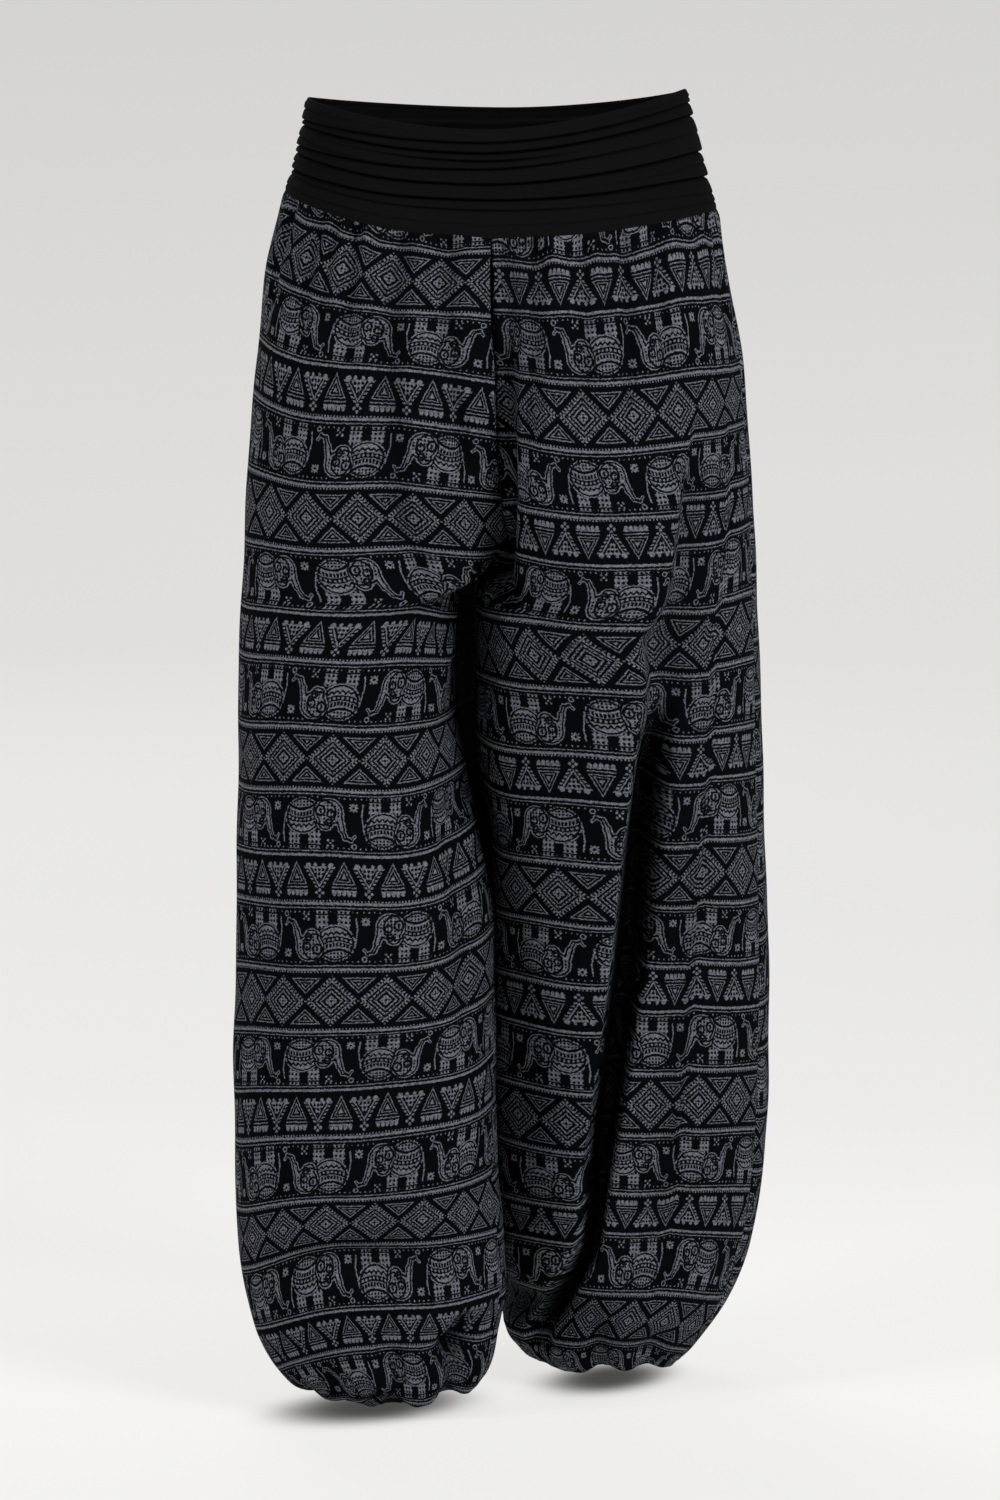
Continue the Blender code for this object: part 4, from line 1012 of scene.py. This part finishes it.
def waistband():
    """Rings of the band: up its outside from the waist seam, over the rim, and down its inside, with their UV
    coordinates and the painted shade of the creases.
    """
    rings = [leg_rings(side, np.zeros(1))[0][0] * (SIGN[side], 1.0, 1.0) for side in ("left", "right")]
    seam = np.concatenate([rings[0][::-1], rings[1][1:]])
    run = running_length(seam[None])[0]
    turn = np.arange(BAND_COLUMNS + 1) / BAND_COLUMNS
    low = np.column_stack([np.interp(turn * run[-1], run, seam[:, axis]) for axis in range(3)])
    angle = np.arctan2(low[:, 0] / TOP_HALF_WIDTH, -low[:, 1] / TOP_HALF_DEPTH)
    reach = (np.abs(np.sin(angle)) ** TOP_ROUND + np.abs(np.cos(angle)) ** TOP_ROUND) ** (-1.0 / TOP_ROUND)
    side = np.where(np.sin(angle) > 0.0, TOP_HEIGHT["left"], TOP_HEIGHT["right"])
    middle = np.where(np.cos(angle) > 0.0, TOP_HEIGHT["front"], TOP_HEIGHT["back"])
    high = np.column_stack([TOP_SHIFT + TOP_HALF_WIDTH * reach * np.sin(angle),
                            -TOP_HALF_DEPTH * reach * np.cos(angle),
                            middle + (side - middle) * np.abs(np.sin(angle)) ** TOP_SWEEP])
    away = np.column_stack([np.sin(angle), -np.cos(angle), np.zeros_like(angle)])
    arc = np.linspace(0.0, math.pi, RIM_ROWS + 2)[1:-1]
    height = np.concatenate([np.linspace(0.0, 1.0, OUTER_ROWS), np.ones(RIM_ROWS),
                             np.linspace(1.0, 0.0, INNER_ROWS)])
    inward = np.concatenate([np.zeros(OUTER_ROWS), (1.0 - np.cos(arc)) * JERSEY / 2,
                             np.full(INNER_ROWS, JERSEY)])
    above = np.concatenate([np.zeros(OUTER_ROWS), np.sin(arc) * JERSEY / 2, np.zeros(INNER_ROWS)])
    relief, depth = band_relief(turn[None], height[:, None])
    relief = relief - inward[:, None]
    spread = np.hanning(2 * BAND_SMOOTH + 1) / BAND_SMOOTH
    wide = np.concatenate([low[-1 - BAND_SMOOTH:-1], low, low[1:BAND_SMOOTH + 1]])
    calm = np.column_stack([np.convolve(wide[:, axis], spread, mode="valid") for axis in range(3)])
    start = low + (calm - low) * ease(height / SEAM_CORNER)[:, None, None]
    points = start + (high - start) * height[:, None, None] + away * relief[:, :, None]
    points[:, :, 2] += above[:, None]
    up = (height - inward * RIM_WEAVE) * BAND_HEIGHT
    uv = np.stack(np.broadcast_arrays(turn * run[-1], up[:, None]), axis=2)
    return points[:, :-1], np.concatenate([uv, uv[:1]]), depth[:, :-1]


# The jersey's own colour, and the painted shade at the floor of a crease
JERSEY_COLOUR = (0.0047, 0.0047, 0.0047)
CREASE_PAINTED_SHADE_COLOUR = (0.0008, 0.0008, 0.0008)


def jersey():
    """Black jersey, with painted shade that darkens it towards the floor of a crease."""
    look, shader, _ = plain_cloth("black_jersey", JERSEY_COLOUR)
    two_tone(shader, painted_fold_shade(shader), JERSEY_COLOUR, CREASE_PAINTED_SHADE_COLOUR)
    return look


band_points, band_uv, band_painted_shade = waistband()
band = grid_object("waistband_jersey", band_points, band_uv, False, (jersey(),), band_painted_shade, True, True)
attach(band, "root")
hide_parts("waistband")


# ---- Studio: backdrop and lights ----
# A seamless pale paper that curves up behind the garment, with a painted glow that grows paler towards the
# floor and painted shadows under the hems, and a broad soft light from either side and a weaker one from behind.
FLOOR = -0.9620
SWEEP_START = 5.6  # where the paper begins to curve up, behind every place that the camera may take
SWEEP_RADIUS = 1.2
STAGE_FRONT = -7.0
STAGE_TOP = 4.4
STAGE_HALF_WIDTH = 6.5
STAGE_ROWS = (80, 60, 20)  # over the floor, the curve and the wall
NEAREST = 0.8  # the paper nearer to the camera than this lies below its picture

# Painted light: how brightly the paper glows, a row for each place on it, from the wall's top, 0, to the floor
# near the camera, 1, foreshortened as the camera sees it
PAPER_PAINTED_GLOW = ((0.0, .527), (0.333, .628), (0.467, .633), (0.60, .616), (0.733, .638), (0.867, .712),
              (0.933, .702), (1.0, .668))
PAPER_TINT = (1.0, 0.99, 0.966)
PAPER = 0.20  # how much of the lamps' light it returns
ROOM_LIGHT = 0.24  # how bright the rest of the room is

# Painted soft shadows under the hems, which darken the paper's glow and colour: across the paper, along it
# as in its glow, and half its size both ways
PAINTED_HEM_SHADOWS = ((-.094, 0.9395, .068, .0120), (0.080, 0.9170, .046, .0105))
PAINTED_SHADOW_DEPTH = 0.90
PAINTED_SHADOW_TILT = 0.08  # how much they rise to the right


def paper_sheet():
    """The paper's outline along the floor, up a quarter circle and up the wall. Its UV coordinates are how
    far across it a point lies, and how far along it, foreshortened as the camera sees it."""
    floor_rows, curve_rows, wall_rows = STAGE_ROWS
    turn = np.linspace(0.0, math.pi / 2, curve_rows)
    floor = np.linspace(STAGE_FRONT, SWEEP_START, floor_rows, endpoint=False)
    wall = np.linspace(FLOOR + SWEEP_RADIUS, STAGE_TOP, wall_rows)[1:]
    back = np.concatenate([floor, SWEEP_START + SWEEP_RADIUS * np.sin(turn),
                           np.full_like(wall, SWEEP_START + SWEEP_RADIUS)])
    high = np.concatenate([np.full_like(floor, FLOOR), FLOOR + SWEEP_RADIUS * (1.0 - np.cos(turn)), wall])
    distance = CAMERA_DISTANCE + back * math.cos(CAMERA_TURN)
    depth = np.maximum(distance * math.cos(CAMERA_TILT) - high * math.sin(CAMERA_TILT), NEAREST)
    rise = high * math.cos(CAMERA_TILT) + distance * math.sin(CAMERA_TILT)
    seen = np.where(distance > NEAREST, (AHEAD_PIXEL[1] - FOCAL_PIXELS * rise / depth) / IMAGE_HEIGHT, 1.0)
    sides = np.array([-STAGE_HALF_WIDTH, STAGE_HALF_WIDTH])
    points = np.stack(np.broadcast_arrays(sides, back[:, None], high[:, None]), axis=2)
    uv = np.stack(np.broadcast_arrays(sides, np.clip(seen, 0.0, 1.0)[:, None]), axis=2)
    return points, uv


def paper():
    """Matt paper with a painted glow by a ramp along it, less a flat-topped bell, e to the -r^4, for each hem's
    painted shadow, which darkens its colour as well."""
    look, shader = new_look("backdrop_paper")
    across, along = add_node(look.node_tree, "UVMap", "UV", {}, uv_map="cloth").split()
    ramp = add_node(look.node_tree, "ValToRGB", "Color", {"Fac": along})
    stops = ramp.socket.node.color_ramp.elements
    for at, _ in PAPER_PAINTED_GLOW[1:-1]:
        stops.new(at)
    for stop, (at, value) in zip(stops, PAPER_PAINTED_GLOW):
        stop.position = at
        stop.color = (*(value * tint for tint in PAPER_TINT), 1.0)
    glow_less_painted_shadows = across * 0.0 + 1.0
    for x, y, wide, tall in PAINTED_HEM_SHADOWS:
        dx = (across - x) / wide
        dy = (along + (across - x) * PAINTED_SHADOW_TILT - y) / tall
        away = dx * dx + dy * dy
        glow_less_painted_shadows = glow_less_painted_shadows - (-(away * away)).math("EXPONENT") * PAINTED_SHADOW_DEPTH
    set_inputs(shader, {"Roughness": 1.0, "Specular IOR Level": 0.0, "Base Color": glow_less_painted_shadows * PAPER,
                        "Emission Color": ramp, "Emission Strength": glow_less_painted_shadows})
    return look


def backdrop():
    """The paper's sheet, with its look."""
    return grid_object("backdrop", *paper_sheet(), False, (paper(),))


backdrop()

# Square soft lights: place, height on the centre line that it faces, side in metres, and watts
LIGHTS = {
    "key_light": ((-3.1, -2.2, 1.9), -0.25, 1.2, 100.0),
    "fill_light": ((3.0, -2.3, 1.8), -0.25, 1.5, 154.0),
    "back_light": ((-1.6, 3.6, 2.6), -0.35, 2.2, 85.0),
}
for name, (place, aim, size, watts) in LIGHTS.items():
    lamp = bpy.data.lights.new(name, "AREA")
    lamp.size = size
    lamp.energy = watts
    light = bpy.data.objects.new(name, lamp)
    light.location = place
    light.rotation_euler = (Vector((0.0, 0.0, aim)) - Vector(place)).to_track_quat("-Z", "Y").to_euler()
    home.objects.link(light)

world = bpy.data.worlds.new("studio")
world.use_nodes = True
set_inputs(world.node_tree.nodes["Background"], {"Color": (1.0, 1.0, 1.0, 1.0), "Strength": ROOM_LIGHT})
bpy.context.scene.world = world
bpy.context.scene.view_settings.view_transform = "Standard"
